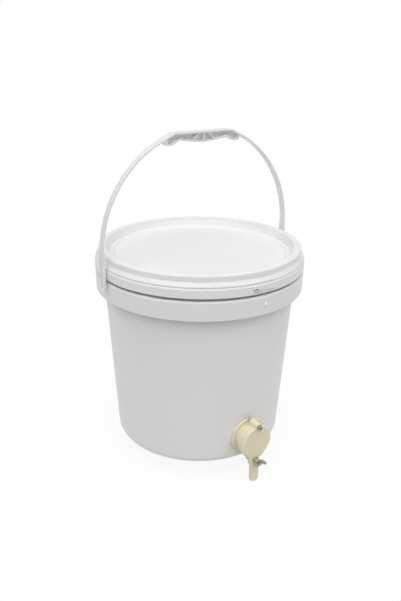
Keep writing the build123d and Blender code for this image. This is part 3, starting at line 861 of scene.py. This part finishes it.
class BUCKET_OT_pail(Operator):
    """Make the pail and the ribs under its collar"""
    bl_idname = "bucket.pail"
    bl_label = "Pail"

    def profile(self, p):
        pail = p.pail
        straight, step, draft = 20 * MM, 9 * MM, 0.4 * MM
        foot = pail.base_radius - pail.base_corner - pail.foot_inset
        low = (pail.base_radius + straight * p.slope, straight)
        high = (p.neck, pail.collar_bottom)
        inner_low = (pail.base_radius - pail.wall + straight * p.slope, straight)
        inner_high = (p.mouth, pail.collar_bottom)
        skirt, under = p.collar - pail.collar_wall, p.collar_top - pail.collar_wall
        bead_in, bead_under = p.bead - pail.bead_wall, p.mouth_z - pail.bead_wall
        bead_low = p.mouth_z - pail.bead_height
        return rounded([
            (0, pail.foot_rise, 0),
            (foot, pail.foot_rise, 0.5 * MM),
            (foot + pail.foot_rise, 0, 0.5 * MM),
            (pail.base_radius, 0, pail.base_corner),
            (*low, 0), *run(low, high, step), (*high, 0),
            (p.neck, under, 1.0 * MM),
            (skirt, under, 1.0 * MM),
            (skirt, pail.collar_bottom, 0.5 * MM),
            (p.collar - draft, pail.collar_bottom, 0.7 * MM),
            (p.collar, p.collar_top, pail.collar_edge),
            (p.neck, p.collar_top, 0.8 * MM),
            (p.neck, bead_under, 0.8 * MM),
            (bead_in, bead_under, 0.8 * MM),
            (bead_in, bead_low, 0.5 * MM),
            (p.bead, bead_low, 0.5 * MM),
            (p.bead, p.mouth_z, 0.9 * MM),
            (p.mouth, p.mouth_z, 0.9 * MM),
            (*inner_high, 0), *run(inner_high, inner_low, step), (*inner_low, 0),
            (pail.base_radius - pail.wall + pail.floor * p.slope, pail.floor, pail.base_corner - pail.wall),
            (0, pail.floor, 0),
        ], closed=False)

    def seat(self, piece, p):
        """Flat round seat for the gate, with its hole."""
        gate, place, steps = p.gate, p.gate_frame, 96
        reach, low, high = p.seat - 0.05 * MM, -0.1 * MM, 9 * MM
        room = turned("room", [(0, low), (reach, low), (reach, high), (0, high)], steps, place)
        pad = lathe("pad", [
            (0, -gate.seat, 0), (p.seat, -gate.seat, 0.8 * MM), (p.seat, 0, 0.7 * MM), (0, 0, 0),
        ], steps, place)
        hole = rod("hole", p.spigot + gate.spigot_clear, -20 * MM, 20 * MM, place, steps=steps)
        cut(piece, room)
        join(piece, pad)
        cut(piece, hole)

    def pivots(self, piece, p):
        """Bosses and holes for the bail's pins, and the dome over the gate."""
        pail, bail = p.pail, p.bail
        boss, hole = bail.pin_radius + 2 * MM, bail.pin_radius + bail.pin_fit
        start, end = p.neck - pail.wall / 2, p.collar - pail.collar_wall / 2
        for along in p.pin_frames:
            join(piece, rod("boss", boss, start, end, along))
            cut(piece, rod("pin hole", hole, p.pin_tip - 0.5 * MM, p.collar + 5 * MM, along))
        work = bmesh.new()
        bmesh.ops.create_uvsphere(work, u_segments=24, v_segments=16, radius=pail.pip_radius)
        mesh = bpy.data.meshes.new("pip")
        work.to_mesh(mesh)
        work.free()
        mesh.transform(
            Matrix.Rotation(pail.pip_turn, 4, "Z")
            @ Matrix.Translation((0, -p.collar + pail.pip_sunk, pail.collar_bottom + pail.pip_rise))
        )
        join(piece, new_piece("pip", mesh))

    def ribs(self, p):
        pail = p.pail
        low, slant = pail.collar_bottom + pail.rib_lift, 4 * MM
        top = p.collar_top - pail.collar_wall / 2
        inside = p.neck - pail.wall / 2
        outside = p.collar - pail.collar_wall / 2
        outline = [(inside, low + slant), (outside, low), (outside, top), (inside, top)]
        pattern = prism("rib", outline, -pail.rib_width / 2, pail.rib_width / 2, UPRIGHT)
        soften(pattern, 0.25 * MM)
        mesh = pattern.data.copy()
        bpy.data.objects.remove(pattern)
        return grown("collar_ribs", rib_tree(), mesh, Count=pail.rib_count, Material=finishes(p).pail)

    def execute(self, context):
        p = plan()
        coat = finishes(p).pail
        piece = turned("pail", self.profile(p), p.pail.segments)
        self.pivots(piece, p)
        self.seat(piece, p)
        dress(piece, coat, "bucket", "pail_white", "bucket_shell")
        dress(self.ribs(p), coat, "bucket", "pail_white")
        return {"FINISHED"}


class BUCKET_OT_lid(Operator):
    """Make the lid with its tear band and the seal in its channel"""
    bl_idname = "bucket.lid"
    bl_label = "Lid"

    def profile(self, p):
        lid = p.lid
        plug_top = p.mouth - lid.plug_clear - lid.wall
        ledge = plug_top - lid.plug_slope
        ledge_z = p.lid_top - lid.plug_depth
        panel = ledge - lid.ledge_width
        panel_z = ledge_z - lid.ledge_step
        foot = p.band_high + lid.tear_gap + lid.flare_lip
        head = foot + lid.flare_drop
        groove = p.flare - lid.tear_groove
        inner = p.flare - lid.wall
        return rounded([
            (0, panel_z, 0),
            (panel - 30 * MM, panel_z, 0),
            (panel, panel_z, lid.step_round),
            (panel + lid.step_run, ledge_z, lid.step_round),
            (ledge, ledge_z, 1.6 * MM),
            (plug_top, p.lid_top - lid.rim_round, 1.5 * MM),
            (plug_top + 1.0 * MM, p.lid_top, 1.6 * MM),
            (p.skirt, p.lid_top, lid.rim_round),
            (p.skirt, head, 2.0 * MM),
            (p.flare, foot, 0.5 * MM),
            (p.flare, foot - lid.flare_lip, 0.35 * MM),
            (groove, foot - lid.flare_lip, 0.2 * MM),
            (groove, p.band_high, 0.2 * MM),
            (p.flare, p.band_high, 0.25 * MM),
            (p.band, p.band_high - lid.band_bevel, 0.8 * MM),
            (p.band + lid.band_draft, p.band_low, lid.band_edge),
            (p.band - lid.band_wall, p.band_low, 0.5 * MM),
            (p.band - lid.band_wall, p.band_high - lid.band_bevel, 0.8 * MM),
            (inner, p.band_high - 0.5 * MM, 0.5 * MM),
            (inner, foot - 0.8 * MM, 0.6 * MM),
            (p.channel, head - 0.8 * MM, 0.8 * MM),
            (p.channel, p.mouth_z + lid.seal, 0.3 * MM),
            (p.mouth - lid.plug_clear, p.mouth_z + lid.seal, 0.3 * MM),
            (p.mouth - lid.plug_clear, p.lid_top - lid.rim_round - 1.2 * MM, 0.6 * MM),
            (ledge + lid.wall, ledge_z - lid.wall, 1.0 * MM),
            (panel + lid.ledge_step, ledge_z - lid.wall, 0.4 * MM),
            (panel + lid.ledge_step / 2, panel_z - lid.wall, 0.6 * MM),
            (0, panel_z - lid.wall, 0),
        ], closed=False)

    def tab(self, piece, p):
        """Slanting slit of the tear tab, with the finger nub at its end."""
        lid, steps = p.lid, 24
        mid = -math.pi / 2
        left, right = mid - lid.tab_half, mid + lid.tab_half
        place = (
            Matrix.Translation((0, 0, p.band_low + lid.tab_rise)) @ Matrix.Rotation(lid.tab_slant, 4, "Y")
        )
        beside = mid + lid.nub_turn + lid.nub_width / 2 / p.band
        for name, begin, end, height in (
            ("slit", left, right, lid.tab_slit),
            ("notch", beside, beside + lid.notch_width / p.band, lid.notch_height),
        ):
            outer = arc(p.band + 6 * MM, begin, end, steps)
            inner = arc(p.band - lid.band_wall - 3 * MM, end, begin, steps)
            cut(piece, prism(name, outer + inner, 0, height, place))
        proud = arc(p.band + lid.tab_lip, left, right, steps)
        root = arc(p.band - lid.band_wall / 2, right, left, steps)
        lip = prism("slit lip", proud + root, -2 * lid.tab_lip, 0, place)
        soften(lip, 0.3 * MM)
        half, sunk, tall = lid.nub_width / 2, lid.nub_round, lid.nub_height / 2
        outline = [(-half, -lid.nub_reach), (half, -lid.nub_reach), (half, sunk), (-half, sunk)]
        nub = prism("nub", outline, -tall, tall)
        soften(nub, lid.nub_round, rounds=5)
        rise = p.band_high - tall - 0.2 * MM
        nub.data.transform(Matrix.Rotation(lid.nub_turn, 4, "Z") @ Matrix.Translation((0, -p.band, rise)))
        join(piece, lip, nub)

    def execute(self, context):
        p = plan()
        lid, coats, segments = p.lid, finishes(p), p.pail.segments
        piece = turned("lid", self.profile(p), segments)
        self.tab(piece, p)
        dress(piece, coats.lid, "lid_body", "lid_white", "lid")
        inner, outer = p.mouth + lid.seal_clear, p.channel - lid.seal_clear
        seal = hoop(
            "lid_seal_ring", inner, outer, p.mouth_z, p.mouth_z + lid.seal, (0.4, 0.4, 0.4, 0.4), segments
        )
        dress(seal, coats.seal, "lid_body", "seal_rubber", "lid_seal")
        return {"FINISHED"}


class BUCKET_OT_bail(Operator):
    """Make the bail with its lugs, strap and ribbed grip"""
    bl_idname = "bucket.bail"
    bl_label = "Bail"

    def rise(self, p, radius, across):
        return p.bail.arch_lift + math.sqrt(radius ** 2 - across ** 2)

    def bow(self, p, radius, low, across):
        """Arch points from a height on the leg up to a distance from the middle, with no rounding."""
        lift = p.bail.arch_lift
        begin, end = math.asin((low - lift) / radius), math.acos(across / radius)
        return [(x, y, 0) for x, y in arc(radius, begin, end, 48, (0, lift))]

    def sizes(self, p):
        """Heights and widths that the bail's outlines share."""
        bail = p.bail
        b = SimpleNamespace(half=bail.grip_half, flat=bail.grip_flat)
        b.top = self.rise(p, p.leg_out, b.half) + bail.grip_crown
        b.shoulder, b.back = b.half + 3 * MM, b.half + 5 * MM
        b.lip = b.top - bail.grip_depth
        b.hook = b.lip - bail.hook_drop
        b.strap, b.grip = bail.strap_width / 2, bail.grip_width / 2
        b.thin = bail.lug_top + bail.lug_fade
        b.near, b.crest, b.end = b.half * 0.40, b.half * 0.68, b.half * 0.86
        b.swell = bail.finger_rise * 0.45
        return b

    def front(self, p, b):
        """Outline of lugs, strap and grip, seen from the front."""
        bail, blend, clear = p.bail, 12 * MM, 0.1 * MM
        start = b.thin + 8 * MM
        outer = rounded(
            [(p.lug_out, -b.strap, 0), (p.lug_out, bail.lug_top, blend), (p.leg_out, b.thin, blend)]
            + self.bow(p, p.leg_out, start, b.shoulder + 1 * MM)
            + [
                (b.shoulder, self.rise(p, p.leg_out, b.shoulder) - clear, 0),
                (b.flat, b.top, 8 * MM), (0, b.top, 0),
            ],
            closed=False,
        )
        inner = rounded(
            [
                (0, b.lip, 0),
                (b.near, b.lip + b.swell, 14 * MM),
                (b.crest, b.lip + bail.finger_rise, 6 * MM),
                (b.end, b.hook + 0.6 * MM, 3 * MM),
                (b.half, b.hook, 1.5 * MM),
                (b.back, self.rise(p, p.leg_in, b.back) + clear, 0),
            ]
            + self.bow(p, p.leg_in, start, b.back + 1 * MM)[::-1]
            + [(p.leg_in, b.thin, blend), (p.lug_in, bail.lug_top, blend), (p.lug_in, -b.strap, 0)],
            closed=False,
        )
        return mirrored(inner + outer)

    def pocket(self, p, b):
        """Outline of the hollow on each side of the grip's web."""
        bail = p.bail
        head, foot, low = b.top - bail.flange, b.lip + bail.flange, b.hook + bail.flange
        end = b.shoulder - 2.5 * MM
        return mirrored(rounded([
            (0, head, 0),
            (b.flat - 0.8 * MM, head, 2 * MM),
            (end, self.rise(p, p.leg_in, end), 1 * MM),
            (b.half - 0.5 * MM, low, 1 * MM),
            (b.end + 0.6 * MM, low + 0.3 * MM, 1 * MM),
            (b.crest, foot + bail.finger_rise, 3 * MM),
            (b.near, foot + b.swell, 10 * MM),
            (0, foot, 0),
        ], closed=False))

    def side(self, p, b):
        """Outline of the whole bail, seen from the side."""
        right = rounded([
            (b.strap, 0, 0), (b.strap, b.hook - 14 * MM, 30 * MM),
            (b.grip, b.top - p.bail.flange - 1 * MM, 6 * MM), (b.grip, b.top + 2 * MM, 0),
        ], closed=False)
        return mirrored(right) + arc(b.strap, math.pi, 2 * math.pi, 32)[1:-1]

    def execute(self, context):
        p = plan()
        bail, b = p.bail, self.sizes(p)
        wide, far = bail.grip_width, 30 * MM
        piece = prism("bail", self.front(p, b), -wide, wide, p.front_frame)
        pocket = self.pocket(p, b)
        for low, high in ((bail.web / 2, far), (-far, -bail.web / 2)):
            cut(piece, prism("pocket", pocket, low, high, p.front_frame))
        rib, high = bail.rib / 2, b.top - 1.0 * MM
        for at_top, at_foot in ((0, 0), (bail.rib_top, bail.rib_foot), (-bail.rib_top, -bail.rib_foot)):
            low = b.lip + b.swell * abs(at_foot) / b.near + 1.2 * MM
            strip = [(at_foot - rib, low), (at_foot + rib, low), (at_top + rib, high), (at_top - rib, high)]
            join(piece, prism("grip rib", strip, -wide, wide, p.front_frame))
        reach = 2 * p.lug_out
        carve(piece, prism("side view", self.side(p, b), -reach, reach, p.side_frame), "INTERSECT")
        for along in p.pin_frames:
            join(piece, rod("stub pin", bail.pin_radius, p.pin_tip, p.lug_mid, along))
        soften(piece, 0.5 * MM)
        edge = b.strap - bail.lug_flange
        bend = edge * 0.9
        groove = rounded([(-edge, -edge, bend), (edge, -edge, bend), (edge, b.thin, 0), (-edge, b.thin, 0)])
        floor, past = p.lug_out - bail.lug_groove, p.lug_out + 2 * MM
        for low, high in ((floor, past), (-past, -floor)):
            cut(piece, prism("lug groove", groove, low, high, p.side_frame))
        dress(piece, finishes(p).bail, "bail", "bail_white", "bail_handle")
        return {"FINISHED"}


class BUCKET_OT_gate_body(Operator):
    """Make the honey gate's body, gaskets and locknut"""
    bl_idname = "bucket.gate_body"
    bl_label = "Gate body"
    steps = 144

    def body(self, p):
        """Spigot, flange, barrel and face plate, with the bosses and holes of both screws."""
        gate, place, steps = p.gate, p.gate_frame, self.steps
        root, end = p.spigot - gate.thread_depth, p.face_back + PAST
        piece = turned("gate_barrel", rounded([
            (gate.bore, -gate.spigot_length, 0.6 * MM),
            (root, -gate.spigot_length, 0.8 * MM),
            (root, p.flange_back, 0),
            (p.flange, p.flange_back, 0.4 * MM),
            (p.flange, p.flange_front, 1.0 * MM),
            (p.barrel, p.flange_front, 1.2 * MM),
            (p.barrel, end, 0),
            (gate.bore, end, 0),
        ]), steps, place, ring=True)
        pivot, clamp = (0, gate.pivot_rise), (0, -gate.clamp_drop)
        ear = gate.clamp_boss
        outline = necked(wrapped(disc(p.disc, steps=steps), disc(ear, clamp, 64)), p.neck_above)
        join(
            piece,
            prism("plate", outline, p.face_back, p.face_front, place),
            rod("clamp boss", ear - HAIR, p.clamp_back, p.face_front - PAST, place, clamp, 64),
        )
        cut(
            piece,
            rod("outlet", gate.bore, p.face_back - PAST, p.face_front + PAST, place, steps=steps),
            rod("pivot hole", p.screw_hole, *p.drill, place, pivot),
            rod("clamp hole", p.screw_hole, *p.drill, place, clamp),
        )
        soften(piece, 0.5 * MM)
        wound = thread(
            "thread", p.spigot - 0.05 * MM, gate.thread_depth, gate.thread_pitch,
            -gate.spigot_length + PAST, -PAST, 72, place,
        )
        return merge(piece, wound, pivot_ring(p, p.pivot_back, p.face_front - PAST))

    def locknut(self, p, front):
        """Ring nut with grip notches round it."""
        gate, place = p.gate, p.gate_frame
        hole = p.spigot + gate.locknut_fit
        outer = hole + gate.locknut_wall
        back = front - gate.locknut_length
        nut = hoop("locknut", hole, outer, back, front, (0.5, 1.0, 0.6, 0.5), self.steps, place)
        reach = outer + gate.notch_radius - gate.notch_depth
        for centre in disc(reach, steps=gate.notch_count):
            cut(nut, rod("notch", gate.notch_radius, back - PAST, front + PAST, place, centre, 40))
        return soften(nut, 0.4 * MM)

    def execute(self, context):
        p = plan()
        gate, coats = p.gate, finishes(p)
        inside = -gate.seat - gate.gasket
        dress(self.body(p), coats.gate, "bucket", "gate_cream", "gate_body")
        for node, low in (("outer_gasket", 0), ("inner_gasket", inside)):
            ring = hoop(
                node + "_ring", p.gasket_hole, p.gasket, low, low + gate.gasket,
                (0.3, 0.3, 0.3, 0.3), self.steps, p.gate_frame,
            )
            dress(ring, coats.seal, "bucket", "seal_rubber", node)
        dress(self.locknut(p, inside), coats.gate, "bucket", "gate_cream", "gate_locknut")
        return {"FINISHED"}


class BUCKET_OT_shutter(Operator):
    """Make the swinging shutter with its hook slot and finger tail"""
    bl_idname = "bucket.shutter"
    bl_label = "Shutter"

    def plate(self, p, low, head):
        """Disc with its pivot boss, two feet and the hook, lying flat."""
        gate, foot = p.gate, 3 * MM
        foot_y = low + 3.4 * MM
        outline = wrapped(
            disc(p.disc, steps=144),
            disc(foot, (gate.ear_half - foot, foot_y), 40),
            disc(foot, (foot - gate.hook_half, foot_y), 40),
        )
        piece = prism("shutter_plate", necked(outline, p.neck_above), p.shutter_back, p.shutter_front)
        top, end = low + 6 * MM, head - 6 * MM
        strip = rounded([
            (-gate.hook_half, top, 0), (-gate.hook_half, head - 1 * MM, 1.5 * MM),
            (-gate.tail_half, end, 2 * MM), (0, end, 0), (0, top, 0),
        ])
        return join(piece, prism("hook", strip, p.shutter_back, p.shutter_front))

    def tail(self, p, head):
        """Finger tail that leans out, with a rounded end."""
        gate, front, half = p.gate, p.shutter_front, p.gate.tail_half
        lean, end, root, top = gate.tail_lean, -gate.tail_drop, front - gate.tail, head + 0.5 * MM
        side = rounded([
            (root, top, 0), (root, head - 10 * MM, 8 * MM), (root + lean, end, 1.2 * MM),
            (front + lean, end, 1.2 * MM), (front, head - 12 * MM, 8 * MM), (front, top, 0),
        ])
        across = Matrix(((0, 0, -1, 0), (0, 1, 0, 0), (1, 0, 0, 0), (0, 0, 0, 1)))
        tail = prism("tail", side, -half, half, across)
        view = rounded([
            (-half, head + 1 * MM, 0), (-half, end, gate.tail_round),
            (half, end, gate.tail_round), (half, head, 1.2 * MM),
        ])
        return carve(tail, prism("tail view", view, 0, front + 4 * lean), "INTERSECT")

    def slot(self, p, pivot):
        """Slot about the pivot, open on one side, that hooks over the clamp screw."""
        gate, half, steps = p.gate, p.gate.slot_half, 24
        swing = gate.pivot_rise + gate.clamp_drop
        begin, stop = -math.pi / 2, -math.pi / 2 + math.radians(28)
        outline = arc(swing + half, begin, stop, steps, pivot)
        outline += arc(swing - half, stop, begin, steps, pivot)
        outline += arc(half, math.pi / 2, 3 * math.pi / 2, 20, (0, -gate.clamp_drop))[1:-1]
        return prism("slot", outline, p.shutter_back - 5 * MM, p.shutter_front + 9 * MM)

    def execute(self, context):
        p = plan()
        gate, front = p.gate, p.shutter_front
        pivot = (0, gate.pivot_rise)
        low, head = -gate.clamp_drop + gate.slot_half, -gate.clamp_drop - gate.slot_half
        piece = self.plate(p, low, head)
        join(piece, self.tail(p, head))
        cut(piece, self.slot(p, pivot))
        least = 0.7 * MM / gate.shutter_edge

        def rim(spot):
            """Full rounding along the disc's front rim, fading out towards the hook."""
            x, y, z = spot
            if z < front - 0.1 * MM or math.hypot(x, y) < 0.8 * p.disc:
                return least
            return least + (1 - least) * min(1, max(0, 0.9 + y / p.disc))

        soften(piece, gate.shutter_edge, rounds=4, share=rim)
        cut(piece, rod("pivot hole", p.screw_hole, *p.drill, centre=pivot))
        piece.data.transform(p.gate_frame)
        merge(piece, pivot_ring(p, p.shutter_back + PAST, p.boss_front))
        dress(piece, finishes(p).gate, "shutter", "gate_cream", "gate_shutter")
        return {"FINISHED"}


class BUCKET_OT_fasteners(Operator):
    """Make the screws, washers, hexagon nut and wing nut"""
    bl_idname = "bucket.fasteners"
    bl_label = "Fasteners"
    steps = 72

    def bolt(self, name, p, place, head, high, end):
        """Screw with a wound thread near its end, joined to its head."""
        screw, core, sunk = p.fix.screw, p.fix.screw - 0.28 * MM, 0.02 * MM
        low, plain = high - 0.5 * MM, p.shutter_front
        piece = lathe(name, [
            (0, low, 0), (screw, low, 0), (screw, plain - 1 * MM, 0),
            (core, plain - 0.7 * MM, 0), (core, end, 0.7 * MM), (0, end, 0),
        ], 48, place)
        join(piece, head)
        start, stop, ridge = plain - 0.6 * MM, end - 0.9 * MM, 0.3 * MM
        wound = thread(name + " thread", screw - sunk, ridge, p.fix.pitch, start, stop, 36, place)
        return merge(piece, wound)

    def pan_head(self, p, high, place):
        """Round head with a driver slot."""
        head, low, half, reach = p.fix.head, high - p.fix.head_height, 0.6 * MM, 9 * MM
        piece = lathe("pan head", [
            (0, low, 0), (head, low, 1.6 * MM), (head, high, 0.2 * MM), (0, high, 0),
        ], self.steps, place)
        slot = [(-half, -reach), (half, -reach), (half, reach), (-half, reach)]
        return cut(piece, prism("driver slot", slot, low - PAST, low + 1.3 * MM, place))

    def hexagon(self, name, flats, low, high, place):
        """Six-sided block with its corners turned off."""
        corner, drop = flats / math.sqrt(3), 0.55 * MM
        tip, reach = flats / 2 - 0.1 * MM, corner + 0.05 * MM
        block = prism(name, disc(corner, steps=6), low, high, place)
        shape = turned("turned off", [
            (0, low - PAST), (tip, low), (reach, low + drop),
            (reach, high - drop), (tip, high), (0, high + PAST),
        ], self.steps, place)
        return carve(block, shape, "INTERSECT")

    def washer(self, name, p, radius, low, place):
        high = low + p.fix.washer
        return hoop(name, p.screw_hole, radius, low, high, (0.1, 0.2, 0.3, 0.2), self.steps, place)

    def wing_nut(self, p, place):
        """Turned hub with two pressed wings."""
        fix, foot = p.fix, 1.0 * MM
        nut = lathe("winged_nut", [
            (0, 0, 0), (fix.hub, 0, 0.4 * MM),
            (fix.hub_tip, fix.hub_height, 0.8 * MM), (0, fix.hub_height, 0),
        ], self.steps)
        tip = fix.hub_tip - 1.6 * MM
        wing = rounded([
            (tip, foot, 0),
            (fix.hub + 0.6 * MM, foot, 1.5 * MM),
            (fix.wing_span - 0.6 * MM, fix.hub_height, 3 * MM),
            (fix.wing_span, fix.wing_height, 2.6 * MM),
            (fix.hub + 0.4 * MM, fix.wing_height, 2.4 * MM),
            (tip, fix.hub_height, 0),
        ])
        for side in (1, -1):
            outline = [(side * x, y) for x, y in wing]
            join(nut, prism("wing", outline, -fix.wing / 2, fix.wing / 2, UPRIGHT))
        cut(nut, rod("bore", p.screw_hole, *p.drill))
        soften(nut, 0.35 * MM, 35)
        nut.data.transform(place)
        return nut

    def execute(self, context):
        p = plan()
        gate, fix, coat = p.gate, p.fix, finishes(p).steel
        pivot, clamp, flats = p.pivot_frame, p.clamp_frame, fix.nut_flats
        round_head = self.pan_head(p, p.pivot_back, pivot)
        screw = self.bolt("pivot_bolt", p, pivot, round_head, p.pivot_back, p.pivot_end)
        upper = self.washer("pivot_washer_ring", p, fix.pivot_washer, p.boss_front + gate.film, pivot)
        nut = self.hexagon("hex_nut", flats, p.nut_back, p.nut_back + fix.nut_height, pivot)
        cut(nut, rod("bore", p.screw_hole, *p.drill, pivot))
        soften(nut, 0.12 * MM, 50, 1)
        hex_head = self.hexagon("hex head", flats, p.clamp_back - fix.head_height, p.clamp_back, clamp)
        bolt = self.bolt("clamp_bolt", p, clamp, hex_head, p.clamp_back, p.clamp_end)
        lower = self.washer("clamp_washer_ring", p, fix.clamp_washer, p.shutter_front + gate.film, clamp)
        wing = self.wing_nut(p, clamp @ Matrix.Translation((0, 0, p.wing_back)))
        for piece, node in (
            (screw, "pivot_screw"), (upper, "pivot_washer"), (nut, "pivot_nut"),
            (bolt, "clamp_screw"), (lower, "clamp_washer"),
        ):
            dress(piece, coat, "bucket", "fastener_steel", node)
        dress(wing, coat, "wing", "fastener_steel", "wing_nut")
        return {"FINISHED"}


class BUCKET_OT_stage(Operator):
    """Set up the pale floor, the round block, the soft light and the camera"""
    bl_idname = "bucket.stage"
    bl_label = "Stage"

    def pale(self, settings):
        """White to the eye with a faint shadow, grey to the light that it gives back."""
        finish = bpy.data.materials.new("Pale stage")
        finish.use_nodes = True
        t = Tree(finish.node_tree)
        finish.node_tree.nodes.remove(finish.node_tree.nodes["Principled BSDF"])
        end = finish.node_tree.nodes["Material Output"]
        ray = t.add("ShaderNodeLightPath").outputs
        reflected = t.sum("MAXIMUM", ray["Is Glossy Ray"], ray["Is Transmission Ray"])
        seen = t.sum("MAXIMUM", ray["Is Camera Ray"], reflected)
        grey = settings.floor_grey
        plain = t.add("ShaderNodeBsdfDiffuse", Color=(grey, grey, grey, 1)).outputs[0]
        white = t.add("ShaderNodeBsdfDiffuse", Color=(1, 1, 1, 1)).outputs[0]
        glow = t.add("ShaderNodeEmission", Color=(1, 1, 1, 1), Strength=1.0).outputs[0]
        show = t.add_in_order("ShaderNodeMixShader", {}, settings.shade, glow, white).outputs[0]
        pick = t.add_in_order("ShaderNodeMixShader", {}, seen, plain, show)
        t.feed(end.inputs["Surface"], pick.outputs[0])
        return finish

    def ramp(self, t, value, stops):
        node = t.add("ShaderNodeValToRGB", Fac=value)
        line = node.color_ramp.elements
        line[0].position, line[1].position = stops[0][0], stops[-1][0]
        for place, _ in stops[1:-1]:
            line.new(place)
        for element, (_, level) in zip(line, stops):
            element.color = (level, level, level, 1)
        return node.outputs["Color"]

    def sky(self, settings):
        """White to the eye; lit by a wide lamp high on the camera's side and a weak light low behind."""
        world = bpy.data.worlds.new("Soft white room")
        world.use_nodes = True
        t = Tree(world.node_tree)
        light = world.node_tree.nodes["Background"]
        way = t.add("ShaderNodeTexCoord").outputs["Generated"]
        up = t.add("ShaderNodeSeparateXYZ", Vector=way).outputs["Z"]
        high, low = self.ramp(t, up, LAMP_LIGHT), self.ramp(t, up, BEHIND_LIGHT)
        ahead = (-math.sin(settings.heading), -math.cos(settings.heading), 0.0)
        towards = t.add_in_order("ShaderNodeVectorMath", {"operation": "DOT_PRODUCT"}, way, ahead)
        near = t.sum("ADD", 0.5, t.sum("MULTIPLY", towards.outputs["Value"], 0.5))
        far = t.sum("SUBTRACT", 1.0, near)
        lamp = t.sum("MULTIPLY", t.sum("MULTIPLY", high, near), settings.lamp)
        glow = t.sum("ADD", lamp, t.sum("MULTIPLY", t.sum("MULTIPLY", low, far), settings.behind))
        seen = t.add("ShaderNodeLightPath").outputs["Is Camera Ray"]
        t.fill(light, Strength=spread(t, seen, 0.0, 1.0, glow, 1.0), Color=(1, 1, 1, 1))
        return world

    def camera(self, settings):
        data = bpy.data.cameras.new("Camera")
        data.sensor_fit = "VERTICAL"
        data.sensor_height = 36.0
        data.lens = settings.lens
        data.shift_x, data.shift_y = settings.shift
        data.clip_start, data.clip_end = 0.05, 50.0
        turn, pitch, roll = settings.heading, settings.pitch, settings.roll
        level = math.cos(pitch)
        ahead = Vector((math.sin(turn) * level, math.cos(turn) * level, -math.sin(pitch)))
        right = Vector((math.cos(turn), -math.sin(turn), 0))
        up = right.cross(ahead)
        x = math.cos(roll) * right + math.sin(roll) * up
        y = math.cos(roll) * up - math.sin(roll) * right
        place = Matrix((x, y, -ahead)).transposed().to_4x4()
        place.translation = Vector(settings.camera_place)
        camera = bpy.data.objects.new("Camera", data)
        camera.matrix_world = place
        return camera

    def execute(self, context):
        scene, settings = context.scene, context.scene.bucket_stage
        finish = self.pale(settings)
        low, half, radius, top = -settings.floor_drop, 4.0, settings.plinth, -0.2 * MM
        corners = [(-half, -half), (half, -half), (half, half), (-half, half)]
        floor = prism("floor", corners, low - 10 * MM, low)
        block = lathe("plinth", [
            (0, low - PAST, 0), (radius, low - PAST, 0), (radius, top, 2 * MM), (0, top, 0),
        ], 128)
        block.data.shade_smooth()
        block.data.set_sharp_from_angle(angle=math.radians(30))
        for piece in (floor, block):
            piece.data.materials.clear()
            piece.data.materials.append(finish)
        scene.world = self.sky(settings)
        camera = self.camera(settings)
        scene.collection.objects.link(camera)
        scene.camera = camera
        scene.view_settings.view_transform = "Standard"
        scene.cycles.max_bounces = settings.bounces
        scene.cycles.diffuse_bounces = settings.bounces
        # The slower guide of the noise filter leaves speckles on the thin bail.
        scene.cycles.denoising_prefilter = "FAST"
        return {"FINISHED"}


class BUCKET_PT_panel(Panel):
    """List of the bucket's pieces and sizes"""
    bl_idname = "BUCKET_PT_panel"
    bl_label = "Honey settling bucket"
    bl_space_type = "VIEW_3D"
    bl_region_type = "UI"
    bl_category = "Bucket"

    def draw(self, context):
        layout = self.layout
        for step in STEPS:
            layout.operator(step.bl_idname)
        for name, group in GROUPS.items():
            box = layout.box()
            box.label(text=group.__name__)
            for key in group.__annotations__:
                box.prop(getattr(context.scene, name), key, text=key.replace("_", " ").capitalize())


GROUPS = {
    "bucket_pail": PailSizes,
    "bucket_lid": LidSizes,
    "bucket_bail": BailSizes,
    "bucket_gate": GateSizes,
    "bucket_fasteners": FastenerSizes,
    "bucket_finishes": Finishes,
    "bucket_stage": StageSettings,
}
STEPS = (
    BUCKET_OT_stage,
    BUCKET_OT_pail,
    BUCKET_OT_lid,
    BUCKET_OT_bail,
    BUCKET_OT_gate_body,
    BUCKET_OT_shutter,
    BUCKET_OT_fasteners,
)


def register():
    for group in GROUPS.values():
        bpy.utils.register_class(group)
    for step in (*STEPS, BUCKET_PT_panel):
        bpy.utils.register_class(step)
    for name, group in GROUPS.items():
        setattr(bpy.types.Scene, name, PointerProperty(type=group))


def unregister():
    for name in GROUPS:
        delattr(bpy.types.Scene, name)
    for step in (BUCKET_PT_panel, *reversed(STEPS)):
        bpy.utils.unregister_class(step)
    for group in reversed(GROUPS.values()):
        bpy.utils.unregister_class(group)


def main():
    register()
    bpy.ops.bucket.stage()
    bpy.ops.bucket.pail()
    bpy.ops.bucket.lid()
    bpy.ops.bucket.bail()
    bpy.ops.bucket.gate_body()
    bpy.ops.bucket.shutter()
    bpy.ops.bucket.fasteners()
    bpy.context.view_layer.update()


if __name__ == "__main__":
    main()
